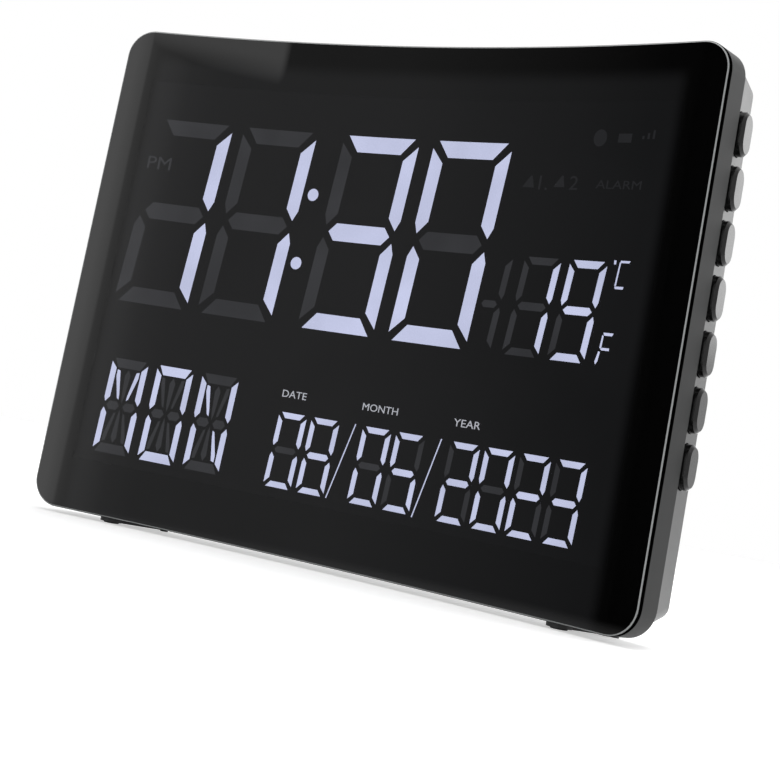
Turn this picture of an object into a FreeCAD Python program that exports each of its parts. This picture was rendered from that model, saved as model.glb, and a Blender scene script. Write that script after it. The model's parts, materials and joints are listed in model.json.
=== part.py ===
# Day clock with a curved screen: a tray-shaped front housing carries a dark curved lens, a light
# box and its board; a bulging rear cover closes it, with seven push buttons in its right side,
# two turning feet under it and a battery bay behind it.
#
# Frame: X to the right as seen from the front, Y to the back, Z up. The origin is on the table,
# under the middle of the clock. Lengths are millimetres and angles are degrees.
import FreeCAD, Part
import Sketcher
import math
import os
import re

os.makedirs("parts", exist_ok=True)
doc = FreeCAD.newDocument("DayClock")
Vector = FreeCAD.Vector
Rotation = FreeCAD.Rotation

# Driving sizes. A depth is measured behind the middle of the screen's front face, and an arc
# along that face from its middle. A rise is measured up from the middle of the screen.
SIZES = {
    "screen_width": 260.0,
    "screen_height": 200.0,
    "screen_radius": 605.0,
    "screen_corner": 11.0,
    "origin_depth": 10.0,
    "ground_gap": 2.2,
    "lens_thickness": 2.0,
    "lens_bevel": 0.6,
    "tape_thickness": 0.3,
    "tape_inset": 0.4,
    "tray_depth": 9.2,
    "tray_rim": 4.0,
    "shelf_thickness": 2.0,
    "opening_side": 13.0,
    "opening_end": 18.0,
    "opening_corner": 3.0,
    "wall": 2.2,
    "cover_depth": 33.0,
    "cover_radius": 455.0,
    "cover_side": 1.2,
    "cover_end": 4.0,
    "cover_draft": 11.3,
    "cover_corner": 5.0,
    "cover_rim_round": 2.0,
    "film_gap": 0.1,
    "film_thickness": 0.25,
    "light_box_side": 15.0,
    "light_box_end": 20.5,
    "light_wall": 1.2,
    "board_gap": 0.5,
    "board_thickness": 1.6,
    "board_side": 12.0,
    "board_end": 10.5,
    "board_screw_end": 13.8,
    "board_screw_inner": 35.0,
    "board_screw_side": 25.0,
    "board_screw_radius": 1.0,
    "board_boss_radius": 3.2,
    "case_screw_radius": 1.3,
    "case_head_radius": 2.5,
    "case_head_height": 1.8,
    "case_boss_radius": 3.0,
    "case_post_radius": 4.2,
    "case_corner_side": 7.0,
    "case_corner_end": 12.8,
    "case_corner_joint": 7.0,
    "case_middle_out": 70.0,
    "case_middle_end": 13.8,
    "case_middle_joint": 17.0,
    "case_seat": 3.2,
    "pilot_depth": 7.0,
    "screw_clearance": 0.1,
    "fit_gap": 0.2,
    "button_top_end": 27.8,
    "button_pitch": 19.0,
    "button_depth": 3.7,
    "button_half_width": 5.1,
    "button_half_length": 7.7,
    "button_height": 3.2,
    "button_chamfer": 1.0,
    "button_gap": 0.3,
    "flange_thickness": 1.2,
    "flange_half_width": 4.4,
    "flange_half_length": 8.9,
    "stem_radius": 2.0,
    "stem_length": 2.6,
    "plunger_radius": 1.6,
    "plunger_out": 1.0,
    "plunger_in": 1.0,
    "plunger_play": 0.08,
    "button_travel": 0.8,
    "switch_side": 6.0,
    "switch_height": 3.5,
    "key_board_depth": 0.9,
    "key_board_width": 9.0,
    "key_board_margin": 10.3,
    "ribbon_foot": 2.6,
    "rib_thickness": 1.8,
    "foot_side": 33.0,
    "foot_depth": 8.5,
    "foot_recess": 2.8,
    "foot_boss_radius": 4.5,
    "foot_arm_length": 22.0,
    "foot_arm_half_width": 2.2,
    "foot_angle": 38.0,
    "foot_clearance": 0.2,
    "foot_stem_radius": 2.0,
    "foot_block_height": 8.4,
    "foot_block_half_width": 10.0,
    "foot_way_half_width": 8.6,
    "foot_fit": 0.06,
    "foot_recess_margin": 0.8,
    "foot_screw_radius": 1.1,
    "foot_head_radius": 2.3,
    "foot_head_height": 1.4,
    "washer_radius": 3.8,
    "washer_thickness": 0.6,
    "washer_gap": 0.12,
    "pad_height": 1.0,
    "pad_out": 0.5,
    "pad_boss_radius": 3.0,
    "pad_tip_radius": 1.6,
    "cell_radius": 5.15,
    "cell_length": 43.3,
    "cell_nub_radius": 1.9,
    "cell_nub_length": 0.9,
    "cell_pitch": 11.4,
    "bay_end": 28.0,
    "bay_half_width": 24.5,
    "bay_half_height": 11.5,
    "bay_depth": 17.2,
    "bay_wall": 1.0,
    "bay_block_half_width": 31.0,
    "bay_block_rise": 3.0,
    "door_half_width": 27.0,
    "door_thickness": 2.4,
    "door_rail": 1.2,
    "door_rail_thickness": 1.0,
    "door_overlap": 2.0,
    "finger_half_width": 24.0,
    "finger_width": 5.0,
    "finger_floor": 1.5,
    "contact_thickness": 0.4,
    "contact_side": 8.0,
    "jack_from_side": 70.0,
    "jack_from_end": 38.0,
    "jack_side": 9.0,
    "jack_bore_radius": 3.2,
    "jack_bore_depth": 9.5,
    "jack_pin_radius": 1.0,
    "jack_pin_back": 2.6,
    "jack_hole_radius": 4.3,
    "speaker_side": 68.0,
    "speaker_rise": -22.0,
    "speaker_radius": 14.0,
    "speaker_seat_depth": 23.0,
    "speaker_rim_thickness": 1.5,
    "speaker_basket_radius": 11.0,
    "speaker_basket_depth": 2.7,
    "magnet_radius": 7.0,
    "magnet_thickness": 3.5,
    "gasket_thickness": 0.8,
    "seat_ring_radius": 16.0,
    "grille_hole_radius": 1.1,
    "grille_pitch": 4.2,
    "sensor_out": -5.0,
    "sensor_depth": 14.2,
    "sensor_radius": 0.9,
    "sensor_length": 1.8,
    "big_digit_height": 77.0,
    "big_digit_width": 33.5,
    "big_digit_base": -13.6,
    "big_stroke": 6.5,
    "small_digit_height": 28.6,
    "small_digit_width": 12.3,
    "small_digit_base": -75.3,
    "letter_height": 38.2,
    "letter_width": 16.5,
    "letter_base": -75.1,
    "degree_digit_height": 35.6,
    "degree_digit_width": 14.8,
    "degree_digit_base": -13.4,
    "digit_slant": 3.4,
    "led_side": 2.8,
    "led_height": 1.2,
}

sheet = doc.addObject("Spreadsheet::Sheet", "Sizes")
for row, (alias, number) in enumerate(SIZES.items(), start=1):
    sheet.set("A%d" % row, alias)
    sheet.set("B%d" % row, str(number))
    sheet.setAlias("B%d" % row, alias)
doc.recompute()

BUTTON_NAMES = ["mode", "alarm", "up", "down", "set", "dimmer", "power"]

# Sizes and places worked out from the driving sizes, mostly a margin inside the screen's outline.
DERIVED = {
    "light_box_half_width": "screen_width / 2 - light_box_side",
    "light_box_half_height": "screen_height / 2 - light_box_end",
    "board_half_width": "screen_width / 2 - board_side",
    "board_half_height": "screen_height / 2 - board_end",
    "board_screw_outer": "screen_width / 2 - board_screw_side",
    "board_screw_rise": "screen_height / 2 - board_screw_end",
    "case_corner_out": "screen_width / 2 - case_corner_side",
    "case_corner_rise": "screen_height / 2 - case_corner_end",
    "case_middle_rise": "screen_height / 2 - case_middle_end",
    "button_top_rise": "screen_height / 2 - button_top_end",
    "key_board_high": "button_top_rise + key_board_margin",
    "key_board_low": "%d * button_pitch - button_top_rise + key_board_margin" % (len(BUTTON_NAMES) - 1),
    "foot_arc": "screen_width / 2 - foot_side",
    "bay_rise": "bay_end - screen_height / 2",
    "jack_out": "jack_from_side - screen_width / 2",
    "jack_rise": "jack_from_end - screen_height / 2",
    "speaker_out": "screen_width / 2 - speaker_side",
}
WORD = re.compile(r"[a-z_]*[a-z]")
FUNCTIONS = ("sin", "cos", "tan", "sqrt", "pi")
nodes = []


def size(alias):
    return float(sheet.get(alias))


def formula(text):
    """The text as an expression in which every size is read from the sheet."""
    def read(word):
        if word.group(0) in FUNCTIONS:
            return word.group(0)
        if word.group(0) in DERIVED:
            return "(%s)" % formula(DERIVED[word.group(0)])
        return "Sizes." + word.group(0)
    return WORD.sub(read, text)


def bind(thing, formulas):
    for name, text in formulas.items():
        thing.setExpression(name, formula(text))
    return thing


def place(thing, x="0", y="0", z="0"):
    return bind(thing, {"Placement.Base.x": x, "Placement.Base.y": y, "Placement.Base.z": z})


# Places that several pieces share. MIDDLE is the height of the screen's middle, and DEPTH is
# added to a depth to give Y.
MIDDLE = "(ground_gap + screen_height / 2)"
DEPTH = "(-origin_depth)"
AXIS = "(-screen_radius - origin_depth)"
SAGITTA = "(screen_width * screen_width / (8 * screen_radius))"
PARTING = "(lens_thickness + tape_thickness + tray_depth)"
BOARD_FRONT = "(lens_thickness + tape_thickness + tray_depth + board_gap)"
BOARD_BACK = "(lens_thickness + tape_thickness + tray_depth + board_gap + board_thickness)"
END_ANGLE = "((screen_width / 2 - cover_side) / screen_radius * 180 / pi)"
COVER_HALF = "((screen_radius + %s) * sin(%s))" % (PARTING, END_ANGLE)
COVER_START = "((screen_radius + %s) * cos(%s) - screen_radius)" % (PARTING, END_ANGLE)
COVER_AXIS = "(cover_depth - cover_radius - origin_depth)"


def box(name, x, y, z):
    """A block from the low to the high formula on each axis."""
    thing = doc.addObject("Part::Box", name)
    bind(thing, {
        "Length": "(%s) - (%s)" % (x[1], x[0]),
        "Width": "(%s) - (%s)" % (y[1], y[0]),
        "Height": "(%s) - (%s)" % (z[1], z[0]),
    })
    return place(thing, x[0], y[0], z[0])


TURNS = {
    "x": Rotation(Vector(0, 1, 0), 90),
    "y": Rotation(Vector(1, 0, 0), -90),
    "z": Rotation(),
}


def rod(name, along, radius, length, x="0", y="0", z="0"):
    """A cylinder from x, y, z along the named axis."""
    thing = doc.addObject("Part::Cylinder", name)
    thing.Placement = FreeCAD.Placement(Vector(), TURNS[along])
    bind(thing, {"Radius": radius, "Height": length})
    return place(thing, x, y, z)


def upright(name, radius, y):
    """A tall cylinder about the upright line at y, for curving a face."""
    return rod(name, "z", radius, "2 * screen_height", "0", y, "-screen_height / 2")


def fuse(name, things):
    thing = doc.addObject("Part::MultiFuse", name)
    thing.Shapes = things
    thing.Refine = True
    return thing


def group(name, things):
    thing = doc.addObject("Part::Compound", name)
    thing.Links = things
    return thing


def cut(name, base, tools):
    thing = doc.addObject("Part::Cut", name)
    thing.Base = base
    thing.Tool = tools[0] if len(tools) == 1 else group(name + "_tools", tools)
    thing.Refine = True
    return thing


def common(name, things):
    thing = doc.addObject("Part::MultiCommon", name)
    thing.Shapes = things
    thing.Refine = True
    return thing


def node(thing, label):
    """Marks a finished piece and gives it its name."""
    thing.Label = label
    nodes.append(thing)
    return thing


def rounded(name, base, radius, chosen, how="Part::Fillet"):
    """Rounds or chamfers the edges of a finished shape that the chosen test picks."""
    doc.recompute()
    thing = doc.addObject(how, name)
    thing.Base = base
    picks = [i for i, edge in enumerate(base.Shape.Edges, start=1) if chosen(edge)]
    thing.Edges = [(i, size(radius), size(radius)) for i in picks]
    return thing


def plane(body, role):
    return [feature for feature in body.Origin.OriginFeatures if feature.Role == role][0]


def rectangle(sketch, low, high):
    """A rectangle between two corners given as formulas."""
    corners = [(600, 1), (610, 1), (610, 100), (600, 100)]
    for i in range(4):
        start, end = corners[i], corners[(i + 1) % 4]
        sketch.addGeometry(Part.LineSegment(Vector(*start, 0), Vector(*end, 0)))
    for i in range(4):
        sketch.addConstraint(Sketcher.Constraint("Coincident", i, 2, (i + 1) % 4, 1))
    for i, kind in enumerate(("Horizontal", "Vertical", "Horizontal", "Vertical")):
        sketch.addConstraint(Sketcher.Constraint(kind, i))
    for name, kind, line, text in (
        ("low_x", "DistanceX", 0, low[0]),
        ("low_y", "DistanceY", 0, low[1]),
        ("high_x", "DistanceX", 2, high[0]),
        ("high_y", "DistanceY", 2, high[1]),
    ):
        corner = corners[line]
        start = corner[0] if kind == "DistanceX" else corner[1]
        index = sketch.addConstraint(Sketcher.Constraint(kind, -1, 1, line, 1, start))
        sketch.renameConstraint(index, name)
        sketch.setExpression("Constraints." + name, formula(text))


def curved_block(name, front, back, side, end, corner=None):
    """A block that follows the screen's curve between two depths, with its corners rounded.

    side and end are how far it stays inside the screen's outline, along the arc and upright.
    """
    body = doc.addObject("PartDesign::Body", name)
    place(body, "0", AXIS, "0")
    sketch = body.newObject("Sketcher::SketchObject", name + "_section")
    sketch.AttachmentSupport = [(plane(body, "YZ_Plane"), "")]
    sketch.MapMode = "FlatFace"
    low = ("screen_radius + (%s)" % front, "ground_gap + (%s)" % end)
    high = ("screen_radius + (%s)" % back, "ground_gap + screen_height - (%s)" % end)
    rectangle(sketch, low, high)
    turn = body.newObject("PartDesign::Revolution", name + "_turn")
    turn.Profile = sketch
    turn.ReferenceAxis = (sketch, ["V_Axis"])
    turn.Midplane = True
    bind(turn, {"Angle": "2 * (screen_width / 2 - (%s)) / screen_radius * 180 / pi" % side})
    doc.recompute()
    if corner:
        radial = [
            "Edge%d" % i for i, edge in enumerate(turn.Shape.Edges, start=1)
            if isinstance(edge.Curve, Part.Line) and abs(edge.tangentAt(edge.FirstParameter).z) < 0.5
        ]
        bend = body.newObject("PartDesign::Fillet", name + "_corners")
        bend.Base = (turn, radial)
        bind(bend, {"Radius": corner})
        doc.recompute()
    return body


def turned(thing, arc):
    """Turns a thing made in the curve's own frame (sideways, radius, up) to an arc."""
    thing.Placement = FreeCAD.Placement(Vector(), Rotation(Vector(0, 0, 1), 1))
    place(thing, "0", AXIS, "0")
    return bind(thing, {"Placement.Rotation.Angle": "-(%s) / screen_radius * 180 / pi" % arc})


def at_depth(text):
    return "(%s) - origin_depth" % text


def at_rise(text):
    return "%s + (%s)" % (MIDDLE, text)


# Front lens: a curved dark acrylic sheet with polished bevelled edges.
lens = curved_block("Lens", "0", "lens_thickness", "0", "0", "screen_corner")


def on_front(edge):
    """Whether an edge of the lens, in its body's own frame, lies on the front face."""
    points = [edge.valueAt(edge.FirstParameter), edge.valueAt(edge.LastParameter)]
    return all(abs(math.hypot(p.x, p.y) - size("screen_radius")) < 0.05 for p in points)


corners = lens.Tip
front_edges = ["Edge%d" % i for i, edge in enumerate(corners.Shape.Edges, start=1) if on_front(edge)]
bevel = lens.newObject("PartDesign::Chamfer", "Lens_bevel")
bevel.Base = (corners, front_edges)
bind(bevel, {"Size": "lens_bevel"})
node(lens, "front_lens")

# Tape: the frame of double-sided foam tape that holds the lens on the tray's rim.
tape_outer = curved_block(
    "Tape_outer", "lens_thickness", "lens_thickness + tape_thickness",
    "tape_inset", "tape_inset", "screen_corner - tape_inset")
tape_inner = curved_block(
    "Tape_inner", "lens_thickness - 1", "lens_thickness + tape_thickness + 1",
    "tray_rim", "tray_rim", "screen_corner - tray_rim")
node(cut("Tape", tape_outer, [tape_inner]), "lens_tape")

# Front housing: a tray with a rim for the lens and a shelf at its back, open in the middle.
TRAY_FRONT = "(lens_thickness + tape_thickness)"
tray = curved_block("Tray", TRAY_FRONT, PARTING, "0", "0", "screen_corner")
tray_hollow = curved_block(
    "Tray_hollow", TRAY_FRONT + " - 1", PARTING + " - shelf_thickness",
    "tray_rim", "tray_rim", "screen_corner - tray_rim")
tray_opening = curved_block(
    "Tray_opening", TRAY_FRONT + " - 2", PARTING + " + 2",
    "opening_side", "opening_end", "opening_corner")

SIDES = (("left", "-1"), ("right", "1"))
ENDS = (("low", "-1"), ("high", "1"))
board_screw_places = [
    ("%s_%s_%s" % (side, reach, end), "%s * board_screw_%s" % (sx, reach), "%s * board_screw_rise" % sz)
    for side, sx in SIDES for end, sz in ENDS for reach in ("inner", "outer")
]
case_screw_places = [
    ("%s_%s_%s" % (side, reach, end), "%s * case_%s_out" % (sx, reach), "%s * case_%s_rise" % (sz, reach),
     "case_%s_joint" % reach)
    for side, sx in SIDES for end, sz in ENDS for reach in ("corner", "middle")
]
BOSS_START = "(-%s)" % SAGITTA
bosses = []
pilots = []
for name, x, rise in board_screw_places:
    length = "%s - (%s)" % (BOARD_FRONT, BOSS_START)
    bosses.append(rod("Board_boss_" + name, "y", "board_boss_radius", length,
                      x, at_depth(BOSS_START), at_rise(rise)))
    start = at_depth("%s - pilot_depth" % BOARD_FRONT)
    pilots.append(rod("Board_pilot_" + name, "y", "board_screw_radius + screw_clearance", "pilot_depth + 1",
                      x, start, at_rise(rise)))
for name, x, rise, joint in case_screw_places:
    length = "%s - (%s)" % (joint, BOSS_START)
    bosses.append(rod("Case_boss_" + name, "y", "case_boss_radius", length,
                      x, at_depth(BOSS_START), at_rise(rise)))
    start = at_depth("%s - pilot_depth" % joint)
    pilots.append(rod("Case_pilot_" + name, "y", "case_screw_radius + screw_clearance", "pilot_depth + 1",
                      x, start, at_rise(rise)))
shelf_middle = upright("Shelf_middle", "screen_radius + %s - shelf_thickness / 2" % PARTING, AXIS)
boss_set = cut("Bosses", fuse("Boss_rods", bosses), [shelf_middle])

# Each foot turns in a solid block of the tray, in a recess that is open to the back.
FOOT_RHO = "screen_radius + foot_depth"
foot_blocks = []
foot_cuts = []
for side, sign in SIDES:
    arc = "%s * foot_arc" % sign
    foot_blocks.append(turned(group("Foot_block_" + side, [box(
        "Foot_block_box_" + side,
        ("-foot_block_half_width", "foot_block_half_width"),
        ("screen_radius + %s + 1" % TRAY_FRONT, "screen_radius + %s - screw_clearance" % PARTING),
        ("ground_gap + 1", "ground_gap + foot_block_height"))]), arc))
    recess = "(foot_boss_radius + foot_recess_margin)"
    foot_cuts.append(turned(group("Foot_cuts_" + side, [
        rod("Foot_recess_" + side, "z", recess, "ground_gap + foot_recess", "0", FOOT_RHO, "0"),
        box("Foot_way_out_" + side,
            ("-foot_way_half_width", "foot_way_half_width"),
            (FOOT_RHO, "screen_radius + %s + 5" % PARTING),
            ("0", "ground_gap + foot_recess")),
        rod("Foot_bore_" + side, "z", "foot_stem_radius + foot_fit", "ground_gap + foot_block_height",
            "0", FOOT_RHO, "1"),
        rod("Foot_screw_room_" + side, "z", "washer_radius + 0.7", "opening_end",
            "0", FOOT_RHO, "ground_gap + foot_block_height"),
    ]), arc))
hollow_tray = cut("Hollow_tray", tray, [tray_hollow])
tray_solid = fuse("Tray_solid", [hollow_tray] + foot_blocks + [boss_set])
node(cut("Front_housing", tray_solid, [tray_opening] + pilots + foot_cuts), "front_housing")


def cover_block(name, gap, front):
    """The bulging outline of the rear cover, made smaller all round by gap."""
    thing = doc.addObject("Part::Wedge", name + "_wedge")
    low = "(screen_height / 2 - cover_end - (%s))" % gap
    run = "(cover_depth + 5 - %s)" % COVER_START
    far = "(%s - %s * tan(cover_draft))" % (low, run)
    half = "(%s - (%s))" % (COVER_HALF, gap)
    bind(thing, {
        "Xmin": "-%s" % half, "Xmax": half, "X2min": "-%s" % half, "X2max": half,
        "Zmin": "-%s" % low, "Zmax": low, "Z2min": "-%s" % far, "Z2max": far,
        "Ymin": "0", "Ymax": run,
    })
    place(thing, "0", at_depth(COVER_START), MIDDLE)
    bulge = upright(name + "_bulge", "cover_radius - (%s)" % gap, COVER_AXIS)
    hollow = upright(name + "_front", "screen_radius + (%s)" % front, AXIS)
    return cut(name, common(name + "_bulged", [thing, bulge]), [hollow])


def is_cover_corner(edge):
    """A straight edge that runs to the back."""
    if not isinstance(edge.Curve, Part.Line):
        return False
    return abs(edge.tangentAt(edge.FirstParameter).y) > 0.7


def is_cover_rim(edge):
    """An edge round the bulging back face."""
    points = [edge.valueAt(edge.FirstParameter), edge.valueAt(edge.LastParameter)]
    middle = size("cover_depth") - size("cover_radius") - size("origin_depth")
    return all(abs(math.hypot(p.x, p.y - middle) - size("cover_radius")) < 0.01 for p in points)


# Rear cover: the shell, its posts and battery bay, and everything cut in it.
cover_plain = cover_block("Cover_plain", "0", PARTING)
cover_cornered = rounded("Cover_cornered", cover_plain, "cover_corner", is_cover_corner)
cover_outer = rounded("Cover_outer", cover_cornered, "cover_rim_round", is_cover_rim)
cover_inner = cover_block("Cover_inner", "wall", "0")
cover_shell = cut("Cover_shell", cover_outer, [cover_inner])

posts = []
post_cuts = []
for name, x, rise, joint in case_screw_places:
    start = "%s + screw_clearance" % joint
    posts.append(rod("Case_post_" + name, "y", "case_post_radius", "cover_depth",
                     x, at_depth(start), at_rise(rise)))
    post_cuts.append(rod("Case_hole_" + name, "y", "case_screw_radius + screw_clearance", "cover_depth",
                         x, at_depth(joint), at_rise(rise)))
    post_cuts.append(rod("Case_counterbore_" + name, "y", "case_head_radius + fit_gap", "cover_depth",
                         x, at_depth("%s + case_seat" % joint), at_rise(rise)))

BAY_TOP = "(bay_rise + bay_half_height)"
BAY_BOTTOM = "(bay_rise - bay_half_height)"
FAR = "(cover_depth + 10)"
bay_block = box(
    "Bay_block", ("-bay_block_half_width", "bay_block_half_width"),
    (at_depth("bay_depth - bay_wall"), at_depth(FAR)),
    ("ground_gap", at_rise(BAY_TOP + " + bay_block_rise")))
seat_ring = cut(
    "Seat_ring",
    rod("Seat_ring_rod", "y", "seat_ring_radius", FAR, "speaker_out", at_depth("speaker_seat_depth"),
        at_rise("speaker_rise")),
    [rod("Seat_ring_hole", "y", "speaker_radius - 1", FAR, "speaker_out", at_depth("speaker_seat_depth"),
         at_rise("speaker_rise"))])

SWITCH_FRONT = "(%s - wall - fit_gap - flange_thickness - stem_length - plunger_out)" % COVER_HALF
KEY_BOARD_OUT = "(%s - switch_height)" % SWITCH_FRONT
KEY_BOARD_IN = "(%s - board_thickness)" % KEY_BOARD_OUT
ribs = [
    box("Rib_" + end, (KEY_BOARD_IN + " - 1.5", COVER_HALF),
        (at_depth("key_board_depth"), at_depth("key_board_depth + key_board_width + 1")),
        (at_rise(low), at_rise(low + " + rib_thickness")))
    for end, low in (("low", "-key_board_low - rib_thickness / 2"),
                     ("high", "key_board_high - rib_thickness / 2"))
]
rib_slots = [
    box("Rib_slot", (KEY_BOARD_IN + " - screw_clearance", KEY_BOARD_OUT + " + screw_clearance"),
        (at_depth("key_board_depth - 1"), at_depth("key_board_depth + key_board_width + screw_clearance")),
        (at_rise("-key_board_low - screw_clearance"), at_rise("key_board_high + screw_clearance")))
]
fixture_set = fuse("Cover_fixture_set", posts + [bay_block, seat_ring] + ribs)
fixtures = common("Cover_fixtures", [fixture_set, cover_outer])


def door_shape(name, gap):
    """The battery door's plate and rails, made larger all round by gap, running out at the bottom."""
    plate = box(
        name + "_plate", ("-door_half_width - (%s)" % gap, "door_half_width + (%s)" % gap),
        (at_depth("bay_depth"), at_depth(FAR)),
        ("0", at_rise(BAY_TOP + " + door_overlap + (%s)" % gap)))
    plate_front = upright(name + "_plate_front", "cover_radius - door_thickness - (%s)" % gap, COVER_AXIS)
    rail_out = "(door_half_width + door_rail + (%s))" % gap
    rails = box(
        name + "_rails", ("-" + rail_out, rail_out),
        (at_depth("bay_depth"), at_depth(FAR)),
        ("0", at_rise(BAY_TOP + " + door_overlap + (%s)" % gap)))
    rail_back = upright(
        name + "_rail_back", "cover_radius - door_thickness + door_rail_thickness + (%s)" % gap, COVER_AXIS)
    rails_thin = common(name + "_rails_thin", [rails, rail_back])
    return cut(name, fuse(name + "_both", [plate, rails_thin]), [plate_front])


def oval(name, x0, length, y, z, half_width, half_length):
    """A block with half-round ends that runs along X, longest upright."""
    straight = "(%s - (%s))" % (half_length, half_width)
    return fuse(name, [
        rod(name + "_low", "x", half_width, length, x0, y, "%s - %s" % (z, straight)),
        rod(name + "_high", "x", half_width, length, x0, y, "%s + %s" % (z, straight)),
        box(name + "_mid", (x0, "%s + (%s)" % (x0, length)),
            ("%s - (%s)" % (y, half_width), "%s + (%s)" % (y, half_width)),
            ("%s - %s" % (z, straight), "%s + %s" % (z, straight))),
    ])


BUTTON_Y = at_depth("button_depth")
button_z = ["(%s - %d * button_pitch)" % (at_rise("button_top_rise"), i) for i in range(len(BUTTON_NAMES))]
button_holes = [
    oval("Button_hole_" + name, "(%s - wall - 1)" % COVER_HALF, "wall + 5", BUTTON_Y, z,
         "(button_half_width + button_gap)", "(button_half_length + button_gap)")
    for name, z in zip(BUTTON_NAMES, button_z)
]

grille_holes = []
for ring in range(3):
    for step in range(max(1, 6 * ring)):
        angle = 360 * step / max(1, 6 * ring)
        grille_holes.append(rod(
            "Grille_hole_%d_%d" % (ring, step), "y", "grille_hole_radius", FAR,
            "speaker_out + %d * grille_pitch * cos(%s)" % (ring, angle),
            at_depth("speaker_seat_depth - 1"),
            "%s + %d * grille_pitch * sin(%s)" % (at_rise("speaker_rise"), ring, angle)))

CELL_RISES = ("bay_rise - cell_pitch / 2", "bay_rise + cell_pitch / 2")
bay_cuts = [
    box("Bay_hollow", ("-bay_half_width", "bay_half_width"), (at_depth("bay_depth"), at_depth(FAR)),
        (at_rise(BAY_BOTTOM), at_rise(BAY_TOP))),
    box("Finger_slot", ("-finger_half_width", "finger_half_width"),
        (at_depth("cover_depth - door_thickness - finger_width"),
         at_depth("cover_depth - door_thickness / 2")),
        ("0", at_rise(BAY_BOTTOM + " - finger_floor"))),
    door_shape("Door_room", "fit_gap"),
]
for i, rise in enumerate(CELL_RISES):
    for side, sign in SIDES:
        outer = "%s * (bay_half_width - contact_thickness / 2)" % sign
        bay_cuts.append(box(
            "Tail_slot_%d_%s" % (i, side), (outer + " - contact_thickness", outer + " + contact_thickness"),
            (at_depth("bay_depth - bay_wall - 1"), at_depth("bay_depth + 1")),
            (at_rise(rise + " - contact_side / 5"), at_rise(rise + " + contact_side / 5"))))
jack_hole = rod("Jack_hole", "y", "jack_hole_radius", FAR,
                "jack_out", at_depth(BOARD_BACK), at_rise("jack_rise"))
sensor_hole = box(
    "Sensor_hole", ("sensor_out - sensor_radius", "sensor_out + sensor_radius"),
    (at_depth("sensor_depth - 2 * sensor_radius"), at_depth("sensor_depth + 2 * sensor_radius")),
    ("ground_gap", "ground_gap + cover_end + 4 * wall"))
cover_cuts = post_cuts + rib_slots + button_holes + grille_holes + bay_cuts + [jack_hole, sensor_hole]
cover_solid = fuse("Cover_solid", [cover_shell, fixtures])
node(cut("Rear_cover", cover_solid, cover_cuts), "rear_cover")

# Battery door: slides down out of its rails, pulled with a finger in the slot under the bay.
door_fit = door_shape("Door_fit", "0")
node(common("Door", [door_fit, cover_outer]), "battery_door")

# Cells, contacts and springs in the bay.
cells = []
contacts = []
springs = []
CELL_DEPTH = "(bay_depth + cell_radius + screw_clearance)"
for i, rise in enumerate(CELL_RISES):
    sign = "-1" if i else "1"
    spring_room = "(2 * bay_half_width - 2 * contact_thickness - cell_length - cell_nub_length)"
    low = "-bay_half_width + contact_thickness" + (" + cell_nub_length" if i else " + " + spring_room)
    can = rod("Cell_can_%d" % i, "x", "cell_radius", "cell_length", low, at_depth(CELL_DEPTH), at_rise(rise))
    nub_start = "-bay_half_width + contact_thickness" if i else low + " + cell_length"
    nub = rod("Cell_nub_%d" % i, "x", "cell_nub_radius", "cell_nub_length", nub_start,
              at_depth(CELL_DEPTH), at_rise(rise))
    cells.append(fuse("Cell_%d" % i, [can, nub]))
    for side, side_sign in SIDES:
        inner = "%s * (bay_half_width - contact_thickness / 2)" % side_sign
        across = (inner + " - contact_thickness / 2", inner + " + contact_thickness / 2")
        plate = box("Contact_plate_%d_%s" % (i, side), across,
                    (at_depth("bay_depth + screw_clearance"), at_depth("bay_depth + contact_side")),
                    (at_rise(rise + " - contact_side / 2"), at_rise(rise + " + contact_side / 2")))
        tail = box("Contact_tail_%d_%s" % (i, side), across,
                   (at_depth(BOARD_BACK), at_depth("bay_depth + 2 * screw_clearance")),
                   (at_rise(rise + " - contact_side / 8"), at_rise(rise + " + contact_side / 8")))
        contacts.append(fuse("Contact_%d_%s" % (i, side), [plate, tail]))
node(group("Cells", cells), "backup_cells")
node(group("Contacts", contacts), "battery_contacts")

room = (2 * size("bay_half_width") - 2 * size("contact_thickness")
        - size("cell_length") - size("cell_nub_length"))
wire = size("contact_thickness")
coil_radius = size("cell_radius") / 2
coil_height = room - 2 * wire - 0.1
helix = Part.makeHelix(coil_height / 3, coil_height, coil_radius)
circle = Part.Wire([Part.makeCircle(wire, Vector(coil_radius, 0, 0), Vector(0, 1, 0))])
coil = Part.Wire(helix.Edges).makePipeShell([circle], True, True)
for i, rise in enumerate(("low", "high")):
    spring = doc.addObject("Part::Feature", "Spring_" + rise)
    spring.Shape = coil
    spring.Placement = FreeCAD.Placement(Vector(), TURNS["x"])
    start = "-bay_half_width + 2 * contact_thickness + 0.05" if i == 0 else \
        "bay_half_width - 2 * contact_thickness - 0.05 - %r" % coil_height
    place(spring, start, at_depth(CELL_DEPTH), at_rise(CELL_RISES[i]))
    springs.append(spring)
node(group("Springs", springs), "battery_springs")

# Film and light box: the printed mask in front, the white walls that keep the segments apart.
FILM_FRONT = "(lens_thickness + film_gap)"
FILM_BACK = "(lens_thickness + film_gap + film_thickness)"
LIGHT_FRONT = "screen_radius + %s + film_gap" % FILM_BACK
film = curved_block(
    "Film", FILM_FRONT, FILM_BACK, "opening_side + 1", "screen_height / 2 - light_box_half_height",
    "opening_corner")
node(film, "display_film")

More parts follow.
